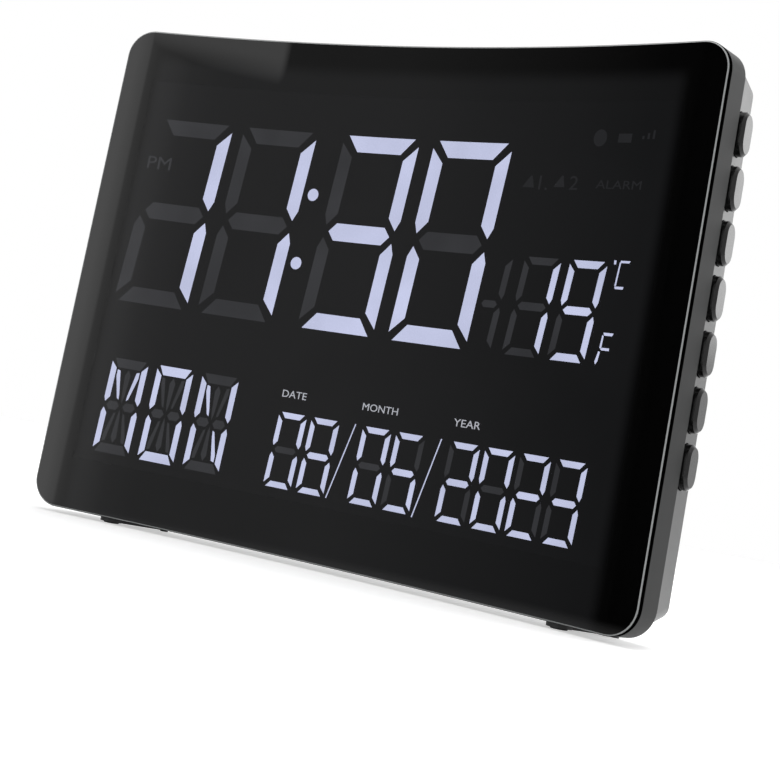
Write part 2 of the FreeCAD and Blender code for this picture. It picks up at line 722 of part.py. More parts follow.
light_block = box(
    "Light_block", ("-light_box_half_width", "light_box_half_width"),
    (at_depth("-" + SAGITTA), at_depth(BOARD_FRONT)),
    (at_rise("-light_box_half_height"), at_rise("light_box_half_height")))
light_front = upright("Light_front", LIGHT_FRONT, AXIS)
light_outer = cut("Light_outer", light_block, [light_front])
light_inner = box(
    "Light_inner", ("-light_box_half_width + light_wall", "light_box_half_width - light_wall"),
    (at_depth("-" + SAGITTA), at_depth(BOARD_FRONT + " + 1")),
    (at_rise("-light_box_half_height + light_wall"), at_rise("light_box_half_height - light_wall")))
light_inner_front = upright("Light_inner_front", LIGHT_FRONT + " + light_wall", AXIS)
light_shell = cut("Light_shell", light_outer, [cut("Light_room", light_inner, [light_inner_front])])

# Digit places: the arc of each digit's lower left corner.
BIG_LEFTS = (-113.1, -74.5, -28.7, 11.2)
SMALL_LEFTS = (-29.9, -15.4, 7.3, 21.8, 44.9, 59.4, 73.8, 88.2)
LETTER_LEFTS = (-108.4, -87.6, -66.8)
DEGREE_LEFTS = (59.8, 78.2)
COLON_RISES = (41.0, 10.0)
COLON_ARC = -32.0
slant = math.tan(math.radians(size("digit_slant")))


def bars(left, base, width, height, stroke):
    """The seven bars of a digit as (arc, rise, half width, half height) of each bar's box."""
    half = stroke / 2
    reach = width / 2 - 1.2 * stroke
    climb = height / 4 - 0.9 * stroke
    middle = left + width / 2
    result = []
    for rise in (half, height / 2, height - half):
        result.append((middle + slant * rise, base + rise, reach, half * 0.9))
    for arc in (half, width - half):
        for rise in (height * 0.27, height * 0.73):
            result.append((left + arc + slant * rise, base + rise, half * 0.9, climb))
    return result


wells = []
led_places = []
for left in BIG_LEFTS:
    for arc, rise, half_width, half_height in bars(
            left, size("big_digit_base"), size("big_digit_width"), size("big_digit_height"),
            size("big_stroke")):
        wells.append((arc, rise, half_width, half_height))
        led_places.append((arc, rise))
for rise in COLON_RISES:
    wells.append((COLON_ARC, rise, 2.4, 2.4))
    led_places.append((COLON_ARC, rise))
for lefts, kind in ((SMALL_LEFTS, "small_digit"), (LETTER_LEFTS, "letter"), (DEGREE_LEFTS, "degree_digit")):
    half_width = size(kind + "_width") / 2
    half_height = size(kind + "_height") / 2
    rise = size(kind + "_base") + half_height
    for left in lefts:
        arc = left + half_width + slant * half_height
        wells.append((arc, rise, half_width, half_height))
        for part in (-0.6, 0, 0.6):
            led_places.append((arc, rise + part * half_height))

led_shapes = []
middle_z = size("ground_gap") + size("screen_height") / 2
board_front = (size("lens_thickness") + size("tape_thickness") + size("tray_depth") + size("board_gap")
               - size("origin_depth"))


def well_blocks(margin):
    """A block through the light box at each well, wider all round by margin."""
    deep = size("screen_width")
    return [
        Part.makeBox(
            2 * (half_width + margin), deep, 2 * (half_height + margin),
            Vector(arc - half_width - margin, -deep / 2, middle_z + rise - half_height - margin))
        for arc, rise, half_width, half_height in wells
    ]


for arc, rise in led_places:
    side = size("led_side")
    corner = Vector(arc - side / 2, board_front - size("led_height"), middle_z + rise - side / 2)
    led_shapes.append(Part.makeBox(side, size("led_height"), side, corner))
well_set = doc.addObject("Part::Feature", "Wells")
well_set.Shape = Part.makeCompound(well_blocks(0))
sleeve_set = doc.addObject("Part::Feature", "Sleeves")
sleeve_blocks = well_blocks(size("light_wall"))
sleeve_set.Shape = sleeve_blocks[0].multiFuse(sleeve_blocks[1:]).removeSplitter()
led_set = doc.addObject("Part::Feature", "Leds")
led_set.Shape = Part.makeCompound(led_shapes)
sleeves = common("Light_sleeves", [sleeve_set, light_outer])
node(cut("Light_box", fuse("Light_solid", [light_shell, sleeves]), [well_set]), "light_box")
node(led_set, "segment_leds")

# Main board, with its screws and the parts on its back.
board = box(
    "Board", ("-board_half_width", "board_half_width"), (at_depth(BOARD_FRONT), at_depth(BOARD_BACK)),
    (at_rise("-board_half_height"), at_rise("board_half_height")))
board_cuts = []
board_screws = []
for name, x, rise in board_screw_places:
    board_cuts.append(rod("Board_hole_" + name, "y", "board_screw_radius + 2 * screw_clearance",
                          "3 * board_thickness",
                          x, at_depth(BOARD_FRONT + " - board_thickness"), at_rise(rise)))
    board_screws.append(fuse("Board_screw_" + name, [
        rod("Board_shank_" + name, "y", "board_screw_radius", "4 + board_thickness", x,
            at_depth(BOARD_FRONT + " - 4"), at_rise(rise)),
        rod("Board_head_" + name, "y", "2 * board_screw_radius", "1.4 * board_screw_radius", x,
            at_depth(BOARD_BACK), at_rise(rise)),
    ]))
for name, x, rise, joint in case_screw_places:
    if "middle" in name:
        board_cuts.append(rod("Board_notch_" + name, "y", "case_boss_radius + 1.5", "3 * board_thickness",
                              x, at_depth(BOARD_FRONT + " - board_thickness"), at_rise(rise)))
node(cut("Main_board", board, board_cuts), "display_board")
node(group("Board_screws", board_screws), "board_screws")


def chip(name, x, rise, wide, tall, thick):
    """A flat part on the back of the main board, centred at x and rise."""
    return box(name, ("%s - %s / 2" % (x, wide), "%s + %s / 2" % (x, wide)),
               (at_depth(BOARD_BACK), at_depth("%s + %s" % (BOARD_BACK, thick))),
               (at_rise("%s - %s / 2" % (rise, tall)), at_rise("%s + %s / 2" % (rise, tall))))


node(chip("Controller", "0", "10", "14", "14", "1.4"), "controller_chip")
drivers = [chip("Driver_%d" % i, str(x), "44", "9", "6", "1.2") for i, x in enumerate((-70, -25, 25, 70))]
node(group("Drivers", drivers), "driver_chips")
node(chip("Crystal", "16", "10", "3.2", "8", "1.6"), "clock_crystal")
capacitors = [
    rod("Capacitor_%d" % i, "y", "3.2", "7.5", x, at_depth(BOARD_BACK), at_rise("-30"))
    for i, x in enumerate(("-76", "-68", "-44"))
]
node(group("Capacitors", capacitors), "board_capacitors")
node(rod("Sensor", "y", "sensor_radius", "sensor_length", "sensor_out", at_depth(BOARD_BACK),
         at_rise("-board_half_height + 2 * sensor_radius")), "temperature_sensor")

# Case screws, driven from behind into the tray's bosses.
case_screws = []
for name, x, rise, joint in case_screw_places:
    seat = "%s + case_seat" % joint
    reach = "(case_seat + pilot_depth - 1)"
    case_screws.append(fuse("Case_screw_" + name, [
        rod("Case_shank_" + name, "y", "case_screw_radius", reach, x,
            at_depth("%s - %s" % (seat, reach)), at_rise(rise)),
        rod("Case_head_" + name, "y", "case_head_radius", "case_head_height",
            x, at_depth(seat), at_rise(rise)),
    ]))
node(group("Case_screws", case_screws), "case_screws")

# Power inlet: an upright socket on the main board with a pin in its bore.
JACK_FAR_SIDE = "(jack_out - jack_side / 2)"
INNER_RADIUS = "(cover_radius - wall)"
JACK_BACK = "(sqrt(%s * %s - %s * %s) + cover_depth - cover_radius - 2 * fit_gap)" % (
    INNER_RADIUS, INNER_RADIUS, JACK_FAR_SIDE, JACK_FAR_SIDE)
JACK_X = ("jack_out - jack_side / 2", "jack_out + jack_side / 2")
JACK_Z = (at_rise("jack_rise - jack_side / 2"), at_rise("jack_rise + jack_side / 2"))
jack_block = box("Jack_block", JACK_X, (at_depth(BOARD_BACK), at_depth(JACK_BACK)), JACK_Z)
jack_bore = rod("Jack_bore", "y", "jack_bore_radius", "jack_bore_depth + 1", "jack_out",
                at_depth(JACK_BACK + " - jack_bore_depth"), at_rise("jack_rise"))
node(cut("Jack", jack_block, [jack_bore]), "dc_jack")
node(rod("Jack_pin", "y", "jack_pin_radius", "jack_bore_depth - jack_pin_back", "jack_out",
         at_depth(JACK_BACK + " - jack_bore_depth"), at_rise("jack_rise")), "dc_jack_pin")

# Speaker: gasket against the seat ring, rim and basket, cone inside, magnet behind.
SPEAKER_RIM = "(speaker_seat_depth - gasket_thickness - speaker_rim_thickness)"
SPEAKER_BACK = "(%s - speaker_basket_depth)" % SPEAKER_RIM


def speaker_rod(name, radius, start, length):
    return rod(name, "y", radius, length, "speaker_out", at_depth(start), at_rise("speaker_rise"))


gasket_disc = speaker_rod(
    "Gasket_disc", "speaker_radius", "speaker_seat_depth - gasket_thickness", "gasket_thickness")
gasket_hole = speaker_rod(
    "Gasket_hole", "speaker_radius - 2", "speaker_seat_depth - gasket_thickness - 1", "gasket_thickness + 2")
node(cut("Gasket", gasket_disc, [gasket_hole]), "speaker_gasket")
basket = fuse("Basket_solid", [
    speaker_rod("Basket_rim", "speaker_radius", SPEAKER_RIM, "speaker_rim_thickness"),
    speaker_rod("Basket_cup", "speaker_basket_radius", SPEAKER_BACK, "speaker_basket_depth"),
])
cone_room = speaker_rod("Cone_room", "speaker_basket_radius - 0.8", SPEAKER_BACK + " + 0.8",
                        "speaker_basket_depth + speaker_rim_thickness")
node(cut("Basket", basket, [cone_room]), "speaker_frame")
cone = doc.addObject("Part::Cone", "Cone")
cone.Placement = FreeCAD.Placement(Vector(), TURNS["y"])
bind(cone, {"Radius1": "magnet_radius / 2", "Radius2": "speaker_basket_radius - 1",
            "Height": "speaker_basket_depth - 0.4"})
place(cone, "speaker_out", at_depth(SPEAKER_BACK + " + 0.8"), at_rise("speaker_rise"))
node(cone, "speaker_cone")
node(speaker_rod("Magnet", "magnet_radius", SPEAKER_BACK + " - magnet_thickness", "magnet_thickness"),
     "speaker_magnet")
leads = [
    rod("Lead_%s" % name, "y", "0.5", "%s - %s" % (SPEAKER_BACK, BOARD_BACK),
        "speaker_out - magnet_radius - 2", at_depth(BOARD_BACK), at_rise("speaker_rise + %s" % up))
    for name, up in (("low", "-1"), ("high", "1"))
]
node(group("Speaker_leads", leads), "speaker_leads")

# Button board behind the right wall, with its switches and ribbon.
node(box("Key_board", (KEY_BOARD_IN, KEY_BOARD_OUT),
         (at_depth("key_board_depth"), at_depth("key_board_depth + key_board_width")),
         (at_rise("-key_board_low"), at_rise("key_board_high"))), "button_board")
switches = []
for name, z in zip(BUTTON_NAMES, button_z):
    body = box("Switch_body_" + name, (KEY_BOARD_OUT, SWITCH_FRONT),
               (BUTTON_Y + " - switch_side / 2", BUTTON_Y + " + switch_side / 2"),
               (z + " - switch_side / 2", z + " + switch_side / 2"))
    room_for_plunger = rod("Switch_bore_" + name, "x", "plunger_radius + plunger_play", "switch_height",
                           SWITCH_FRONT + " - plunger_in - button_travel - fit_gap", BUTTON_Y, z)
    switches.append(cut("Switch_" + name, body, [room_for_plunger]))
node(group("Switches", switches), "tact_switches")
ribbon_low = at_rise("-key_board_low + 3")
ribbon_high = at_rise("-key_board_low + 8")
node(fuse("Ribbon", [
    box("Ribbon_run", (KEY_BOARD_IN + " - 0.5", KEY_BOARD_IN),
        (at_depth("key_board_depth + 4"), at_depth(BOARD_FRONT)), (ribbon_low, ribbon_high)),
    box("Ribbon_end", ("board_half_width - ribbon_foot", KEY_BOARD_IN),
        (at_depth(BOARD_FRONT + " - 0.5"), at_depth(BOARD_FRONT)), (ribbon_low, ribbon_high)),
]), "button_ribbon")

# The seven buttons: an oval cap with a flange inside the wall and a stem on the switch's plunger.
FLANGE_OUT = "(%s - wall - fit_gap)" % COVER_HALF
FLANGE_IN = "(%s - flange_thickness)" % FLANGE_OUT


def is_cap_rim(edge):
    """An edge round the outer face of a cap."""
    points = [edge.valueAt(edge.FirstParameter), edge.valueAt(edge.LastParameter)]
    cap_top = max(vertex.X for vertex in cap.Shape.Vertexes)
    return all(abs(p.x - cap_top) < 0.001 for p in points)


for name, z in zip(BUTTON_NAMES, button_z):
    cap = oval("Cap_" + name, FLANGE_OUT, "(%s + button_height - %s)" % (COVER_HALF, FLANGE_OUT),
               BUTTON_Y, z, "button_half_width", "button_half_length")
    cap_cut = rounded("Cap_cut_" + name, cap, "button_chamfer", is_cap_rim, "Part::Chamfer")
    flange = box("Flange_" + name, (FLANGE_IN, FLANGE_OUT),
                 (BUTTON_Y + " - flange_half_width", BUTTON_Y + " + flange_half_width"),
                 (z + " - flange_half_length", z + " + flange_half_length"))
    stem = rod("Stem_" + name, "x", "stem_radius", "stem_length", FLANGE_IN + " - stem_length", BUTTON_Y, z)
    node(fuse("Button_" + name, [cap_cut, flange, stem]), name + "_button")
    plunger = rod("Plunger_" + name, "x", "plunger_radius", "plunger_out + plunger_in",
                  SWITCH_FRONT + " - plunger_in", BUTTON_Y, z)
    node(plunger, name + "_plunger")

# The two feet, each an arm on a round boss with a stem through the tray, a washer and a screw.
FOOT_TOP = "(ground_gap + foot_recess - foot_clearance)"
STEM_TOP = "(ground_gap + foot_block_height + washer_gap)"


def foot_piece(thing, sign, label):
    """Puts a piece made about its pivot at the foot's place, turned to the foot's angle."""
    holder = thing if thing.TypeId == "Part::Compound" else group(thing.Name + "_held", [thing])
    angle = "(%s * foot_arc / screen_radius * 180 / pi)" % sign
    holder.Placement = FreeCAD.Placement(Vector(), Rotation(Vector(0, 0, 1), -1))
    place(holder, "(%s) * sin%s" % (FOOT_RHO, angle), "(%s) * cos%s + %s" % (FOOT_RHO, angle, AXIS), "0")
    bind(holder, {"Placement.Rotation.Angle": "-foot_angle"})
    node(holder, label)


for side, sign in SIDES:
    arm_half = "foot_arm_half_width"
    foot_solid = fuse("Foot_solid_" + side, [
        rod("Foot_boss_" + side, "z", "foot_boss_radius", FOOT_TOP + " - pad_out", z="pad_out"),
        box("Foot_arm_" + side, ("-" + arm_half, arm_half), ("0", "foot_arm_length"), ("pad_out", FOOT_TOP)),
        rod("Foot_tip_" + side, "z", arm_half, FOOT_TOP + " - pad_out", "0", "foot_arm_length", "pad_out"),
        rod("Foot_stem_" + side, "z", "foot_stem_radius", STEM_TOP + " - pad_out", z="pad_out"),
    ])
    foot_piece(cut("Foot_" + side, foot_solid, [
        rod("Foot_pilot_" + side, "z", "foot_screw_radius + screw_clearance", STEM_TOP, z="3"),
        rod("Pad_room_boss_" + side, "z", "pad_boss_radius", "pad_height"),
        rod("Pad_room_tip_" + side, "z", "pad_tip_radius", "pad_height", "0", "foot_arm_length"),
    ]), sign, side + "_foot")
    foot_piece(group("Pads_" + side, [
        rod("Pad_boss_" + side, "z", "pad_boss_radius", "pad_height"),
        rod("Pad_tip_" + side, "z", "pad_tip_radius", "pad_height", "0", "foot_arm_length"),
    ]), sign, side + "_foot_pads")
    washer_disc = rod("Washer_disc_" + side, "z", "washer_radius", "washer_thickness", z=STEM_TOP)
    washer_hole = rod("Washer_hole_" + side, "z", "foot_screw_radius + screw_clearance",
                      "washer_thickness + 2", z=STEM_TOP + " - 1")
    foot_piece(cut("Washer_" + side, washer_disc, [washer_hole]), sign, side + "_foot_washer")
    foot_piece(fuse("Foot_screw_" + side, [
        rod("Foot_shank_" + side, "z", "foot_screw_radius", STEM_TOP + " + washer_thickness - 3.5", z="3.5"),
        rod("Foot_head_" + side, "z", "foot_head_radius", "foot_head_height",
            z=STEM_TOP + " + washer_thickness"),
    ]), sign, side + "_foot_screw")

doc.recompute()

# Every feature has to be sound and every piece closed before anything is written.
for thing in doc.Objects:
    if "Invalid" in thing.State or "Error" in thing.State:
        raise RuntimeError("%s is %s" % (thing.Name, thing.State))
for thing in nodes:
    if thing.Shape.isNull() or not thing.Shape.isValid() or not thing.Shape.Solids:
        raise RuntimeError("%s has no sound shape" % thing.Label)

for thing in nodes:
    thing.Shape.exportStep("parts/%s.step" % thing.Label)
    box_now = thing.Shape.BoundBox
    print("%-22s %3d solids %12.1f mm3  x %.1f %.1f  y %.1f %.1f  z %.1f %.1f" % (
        thing.Label, len(thing.Shape.Solids), thing.Shape.Volume,
        box_now.XMin, box_now.XMax, box_now.YMin, box_now.YMax, box_now.ZMin, box_now.ZMax))
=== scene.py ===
# %% [markdown]
# # A day clock with a curved screen
# The clock is a black acrylic screen, bent so that its sides come forward, on a dark plastic tray
# with a grey cover behind. Large light bars show the time, and smaller ones the day, the date and
# the temperature. The solids of every part already exist, so this lesson is about looks: the glow
# behind the screen, the finishes, the screws, the floor and the light.

import json
import math

import bmesh
import bpy
from mathutils import Matrix, Vector


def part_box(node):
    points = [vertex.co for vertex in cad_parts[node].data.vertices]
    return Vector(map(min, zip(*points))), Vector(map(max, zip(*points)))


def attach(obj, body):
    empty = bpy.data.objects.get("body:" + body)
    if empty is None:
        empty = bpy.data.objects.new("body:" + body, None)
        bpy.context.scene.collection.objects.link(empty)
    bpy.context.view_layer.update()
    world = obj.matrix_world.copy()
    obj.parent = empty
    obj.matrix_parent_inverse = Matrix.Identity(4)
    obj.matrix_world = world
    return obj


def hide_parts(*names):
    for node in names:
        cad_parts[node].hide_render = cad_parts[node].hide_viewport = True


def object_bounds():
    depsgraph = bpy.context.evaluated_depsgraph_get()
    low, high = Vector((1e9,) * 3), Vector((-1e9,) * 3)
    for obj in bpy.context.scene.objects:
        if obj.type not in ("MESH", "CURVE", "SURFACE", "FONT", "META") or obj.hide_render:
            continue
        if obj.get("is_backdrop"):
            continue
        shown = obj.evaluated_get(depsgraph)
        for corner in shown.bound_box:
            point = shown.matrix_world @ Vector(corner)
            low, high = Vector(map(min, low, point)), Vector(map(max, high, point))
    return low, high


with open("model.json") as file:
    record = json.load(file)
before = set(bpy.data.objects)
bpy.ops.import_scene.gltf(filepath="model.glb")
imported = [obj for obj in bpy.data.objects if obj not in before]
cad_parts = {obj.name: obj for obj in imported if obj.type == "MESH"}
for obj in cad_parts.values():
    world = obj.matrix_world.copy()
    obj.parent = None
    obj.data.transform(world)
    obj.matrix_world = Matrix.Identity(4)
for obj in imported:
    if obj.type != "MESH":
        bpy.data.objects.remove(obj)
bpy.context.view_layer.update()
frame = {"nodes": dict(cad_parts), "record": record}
MM = 0.001


# %% [markdown]
# ## The camera
# The product is seen from the right and from low down, with its right side nearest. The lens's
# length and the small shift come from the edges of the screen: they make its four corners fall
# where the picture has them. The matrix's columns are the camera's right, up and backward
# directions.

# %% Place the camera
LENS_LENGTH = 66.66
LENS_SHIFT = (-0.0081, -0.1115)
CAMERA_PLACE = (0.2792, -0.4716, 0.0399)
CAMERA_RIGHT = (0.8618352, 0.47149554, 0.18690117)
CAMERA_UP = (-0.10589637, -0.19310261, 0.97544725)
CAMERA_BACK = (0.49601014, -0.86046693, -0.11649296)


def add_object(name, data):
    """A new object in the scene."""
    thing = bpy.data.objects.new(name, data)
    bpy.context.scene.collection.objects.link(thing)
    return thing


camera_data = bpy.data.cameras.new("Camera")
camera_data.sensor_width = 36
camera_data.lens = LENS_LENGTH
camera_data.shift_x, camera_data.shift_y = LENS_SHIFT
camera_data.clip_start = 0.01
camera_data.clip_end = 50
camera = add_object("Camera", camera_data)
turn = Matrix((CAMERA_RIGHT, CAMERA_UP, CAMERA_BACK)).transposed().to_4x4()
camera.matrix_world = Matrix.Translation(CAMERA_PLACE) @ turn
bpy.context.scene.camera = camera
bpy.context.scene.view_settings.view_transform = "Standard"
print("camera at", tuple(round(part, 4) for part in camera.location))


# %% [markdown]
# ## Helpers for shader nodes
# A material is a small graph. To keep each one readable, helpers add a node, set its numbers and
# link its inputs: a value that comes from another node's socket is linked, and anything else is
# written on the socket. Most of a noise's values lie in its middle, so a noise is spread from there.

# %% The shader helpers
BLACK = (0.0, 0.0, 0.0)
WHITE = (1.0, 1.0, 1.0)
NOISE_RANGE = (0.3, 0.7)


def fill(tree, node, inputs):
    """Writes each value on its input of a node, or links it when it is a socket."""
    for key, value in inputs.items():
        if isinstance(value, bpy.types.NodeSocket):
            tree.links.new(value, node.inputs[key])
        else:
            node.inputs[key].default_value = value


def add_node(tree, kind, inputs=None, **settings):
    """Adds a node, sets its properties and fills its inputs."""
    node = tree.nodes.new(kind)
    for name, value in settings.items():
        setattr(node, name, value)
    fill(tree, node, inputs or {})
    return node


def do_math(tree, operation, first, second=0.0, clamp=False):
    """One step of arithmetic between sockets or numbers."""
    step = add_node(tree, "ShaderNodeMath", {0: first, 1: second}, operation=operation)
    step.use_clamp = clamp
    return step.outputs[0]


def vector_math(tree, operation, *values, result="Vector"):
    """One step of arithmetic between vectors."""
    step = add_node(tree, "ShaderNodeVectorMath", dict(enumerate(values)), operation=operation)
    return step.outputs[result]


def spread(tree, value, low, high, to_low, to_high, smooth=False):
    """Takes a value that runs from low to high and makes it run from to_low to to_high."""
    step = add_node(tree, "ShaderNodeMapRange", {
        "Value": value, "From Min": low, "From Max": high, "To Min": to_low, "To Max": to_high})
    if smooth:
        step.interpolation_type = "SMOOTHSTEP"
    return step.outputs["Result"]


def noise(tree, place, scale, detail):
    """A cloudy value, with scale clouds in a metre."""
    return add_node(tree, "ShaderNodeTexNoise", {
        "Vector": place, "Scale": scale, "Detail": detail}).outputs["Fac"]


def mix_colours(tree, share, first, second):
    """A colour between two, each given as three numbers or as a socket."""
    ends = [end if isinstance(end, bpy.types.NodeSocket) else (*end, 1) for end in (first, second)]
    return add_node(tree, "ShaderNodeMix", {
        "Factor": share, "A": ends[0], "B": ends[1]}, data_type="RGBA").outputs["Result"]


def raised(tree, relief, height):
    """The normal of a surface on which a value stands out by a height in millimetres."""
    return add_node(tree, "ShaderNodeBump", {
        "Strength": 1.0, "Distance": height * MM, "Height": relief}).outputs["Normal"]


def new_material(name):
    """An empty material with its shader, and the place of the point being shaded."""
    material = bpy.data.materials.new(name)
    material.use_nodes = True
    tree = material.node_tree
    tree.nodes.clear()
    output = add_node(tree, "ShaderNodeOutputMaterial")
    shader = add_node(tree, "ShaderNodeBsdfPrincipled")
    tree.links.new(shader.outputs["BSDF"], output.inputs["Surface"])
    place = add_node(tree, "ShaderNodeTexCoord").outputs["Object"]
    return material, tree, shader, place


print("shader helpers ready")


# %% [markdown]
# ## Moulded plastic
# The tray, the cover and the small black parts are moulded, and the steel mould's fine spark
# texture shows as a satin grain. A flat colour would look like paint, so two noises do the work:
# a wide faint one varies the colour and the gloss as handling does, and a fine one raises the
# grain. The same recipe with other numbers gives rubber, foam and paper.

# %% Moulded plastics
HANDLING = 35.0
COARSE_SHARE = 0.65
FINE_SHARE = 0.35


def moulded(name, dark, light, gloss, grain=2600.0, height=0.01, mirror=0.5):
    """A plastic whose colour and roughness drift slowly, under a fine raised grain.

    dark and light are the ends of its colour, gloss the ends of its roughness, grain the number
    of bumps in a metre, height how tall they are in millimetres and mirror how strongly the
    plastic shines.
    """
    material, tree, shader, place = new_material(name)
    slow = noise(tree, place, HANDLING, 4.0)
    fine = noise(tree, place, grain, 2.0)
    blend = do_math(tree, "ADD", do_math(tree, "MULTIPLY", slow, COARSE_SHARE),
                    do_math(tree, "MULTIPLY", fine, FINE_SHARE))
    fill(tree, shader, {
        "Base Color": mix_colours(tree, blend, dark, light),
        "Roughness": spread(tree, slow, *NOISE_RANGE, *gloss),
        "Normal": raised(tree, fine, height),
        "Specular IOR Level": mirror})
    return material


finishes = {
    "dark_grey_plastic": moulded(
        "Tray plastic", (0.012, 0.0125, 0.0125), (0.018, 0.0185, 0.0185), (0.36, 0.44), mirror=0.22),
    "satin_grey_plastic": moulded(
        "Cover plastic", (0.050, 0.051, 0.051), (0.066, 0.067, 0.067), (0.30, 0.38)),
    "black_plastic": moulded(
        "Foot plastic", (0.012, 0.012, 0.013), (0.024, 0.024, 0.025), (0.40, 0.52)),
    "button_plastic": moulded(
        "Button plastic", (0.004, 0.004, 0.004), (0.008, 0.008, 0.008), (0.14, 0.22), height=0.002,
        mirror=0.3),
    "plunger_plastic": moulded(
        "Plunger plastic", (0.060, 0.060, 0.062), (0.095, 0.095, 0.098), (0.45, 0.60)),
    "pad_rubber": moulded(
        "Pad rubber", (0.010, 0.010, 0.010), (0.022, 0.022, 0.022), (0.75, 0.92), 1400.0, 0.03),
    "foam_tape": moulded(
        "Foam tape", (0.008, 0.008, 0.008), (0.020, 0.020, 0.020), (0.85, 0.98), 1800.0, 0.08,
        mirror=0.1),
    "white_plastic": moulded(
        "Light box plastic", (0.74, 0.74, 0.73), (0.86, 0.86, 0.85), (0.40, 0.55)),
    "chip_plastic": moulded(
        "Chip plastic", (0.010, 0.010, 0.011), (0.030, 0.030, 0.031), (0.55, 0.72), 3800.0, 0.015),
    "cone_paper": moulded(
        "Cone paper", (0.030, 0.028, 0.026), (0.070, 0.066, 0.060), (0.80, 0.95), 1500.0, 0.06),
    "wire_plastic": moulded(
        "Lead plastic", (0.50, 0.50, 0.50), (0.64, 0.64, 0.63), (0.38, 0.50)),
    "led_plastic": moulded(
        "Lamp plastic", (0.82, 0.80, 0.62), (0.92, 0.91, 0.80), (0.10, 0.20), height=0.002),
}
print(len(finishes), "moulded finishes")


# %% [markdown]
# ## Metals
# The screws are zinc plated, the cells wear a steel can with drawn lines round them, and the
# contacts are nickel plated strip. All are the same shader with full metallic, and what tells
# them apart is where the fine lines run, which a stretched noise gives.

# %% Metals
DRAWN_LINES = 900.0
LINE_HEIGHT = 0.004


def metal(name, dark, light, gloss, stretch=(1.0, 1.0, 1.0)):
    """A metal with fine lines: stretch squeezes the noise across them."""
    material, tree, shader, place = new_material(name)
    squeezed = add_node(tree, "ShaderNodeMapping", {"Vector": place, "Scale": stretch})
    lines = noise(tree, squeezed.outputs["Vector"], DRAWN_LINES, 5.0)
    fill(tree, shader, {
        "Base Color": mix_colours(tree, lines, dark, light),
        "Roughness": spread(tree, lines, *NOISE_RANGE, *gloss),
        "Normal": raised(tree, lines, LINE_HEIGHT),
        "Metallic": 1.0})
    return material


finishes["screw_steel"] = metal("Zinc plate", (0.42, 0.43, 0.45), (0.62, 0.62, 0.60), (0.26, 0.40))
finishes["bare_metal"] = metal("Bright metal", (0.62, 0.62, 0.63), (0.78, 0.78, 0.78), (0.22, 0.34))
finishes["cell_metal"] = metal(
    "Cell can", (0.50, 0.50, 0.52), (0.66, 0.66, 0.68), (0.24, 0.34), (4.0, 0.3, 0.3))
finishes["contact_metal"] = metal(
    "Nickel strip", (0.58, 0.56, 0.50), (0.74, 0.72, 0.66), (0.20, 0.32), (0.3, 4.0, 0.3))
print("metals ready")


# %% [markdown]
# ## The circuit boards
# A board is glass fibre under green lacquer, with copper tracks that show through as lighter
# lines and bare pads between them. Bricks of very uneven length, thinned to their mortar, give
# lines that run straight and turn at right angles, which is what tracks do.

# %% Circuit boards
TRACK_HEIGHT = 0.03


def lacquered_board(name):
    """Green lacquer over tracks."""
    material, tree, shader, place = new_material(name)
    turned = add_node(tree, "ShaderNodeMapping", {
        "Vector": place, "Rotation": (math.radians(90), 0, 0)})
    tracks = add_node(tree, "ShaderNodeTexBrick", {
        "Vector": turned.outputs["Vector"], "Scale": 60.0, "Mortar Size": 0.035,
        "Mortar Smooth": 0.3, "Brick Width": 1.3, "Row Height": 0.22}, offset=0.37).outputs["Fac"]
    weave = noise(tree, place, 1500.0, 2.0)
    lacquer = mix_colours(tree, weave, (0.008, 0.070, 0.028), (0.014, 0.105, 0.042))
    fill(tree, shader, {
        "Base Color": mix_colours(tree, tracks, lacquer, (0.040, 0.180, 0.070)),
        "Roughness": spread(tree, weave, *NOISE_RANGE, 0.22, 0.34),
        "Normal": raised(tree, tracks, TRACK_HEIGHT)})
    return material


finishes["circuit_board"] = lacquered_board("Board lacquer")
print("board lacquer ready")


# %% [markdown]
# ## Where a point is on the curved screen
# The screen is part of an upright cylinder whose middle line stands in front of the clock. Three
# numbers say where a point is on it: how far round from the middle, how far up from the middle,
# and how deep behind the front. The shader works them out from the point's place, so that the
# border and the ground edge follow the bend.

# %% The screen's own measures
SCREEN_RADIUS = 0.605
SCREEN_AXIS = -0.615
SCREEN_MIDDLE = 0.1022
lens_low, lens_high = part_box("front_lens")
HALF_HEIGHT = (lens_high.z - lens_low.z) / 2
HALF_ARC = 0.130


def screen_measures(tree, place):
    """Sockets for the distance round, up and in, in metres, of the point being shaded."""
    axes = add_node(tree, "ShaderNodeSeparateXYZ", {"Vector": place}).outputs
    ahead = do_math(tree, "SUBTRACT", axes["Y"], SCREEN_AXIS)
    angle = do_math(tree, "ARCTAN2", axes["X"], ahead)
    squares = do_math(tree, "ADD", do_math(tree, "MULTIPLY", axes["X"], axes["X"]),
                      do_math(tree, "MULTIPLY", ahead, ahead))
    arc = do_math(tree, "MULTIPLY", angle, SCREEN_RADIUS)
    rise = do_math(tree, "SUBTRACT", axes["Z"], SCREEN_MIDDLE)
    depth = do_math(tree, "SUBTRACT", do_math(tree, "SQRT", squares), SCREEN_RADIUS)
    return arc, rise, depth


print("screen half height", round(HALF_HEIGHT, 4))


# %% [markdown]
# ## The screen
# The front is one bent sheet of smoked acrylic, polished, with its front edge ground to a narrow
# bevel that looks grey because the grinding leaves it matt. Smoked acrylic this dark lets only a
# small part of the light through, so that the bars behind it glow and all else disappears. The
# bevel is found by its normal, which points neither to the front nor to the side. A border is
# printed solid black on the back of the sheet, so there the acrylic is simply black. Stray light
# from the bars spreads inside the sheet, so its middle looks a shade lighter than the border, with
# a soft edge. That is a faint emission on the front face that fades towards the border.

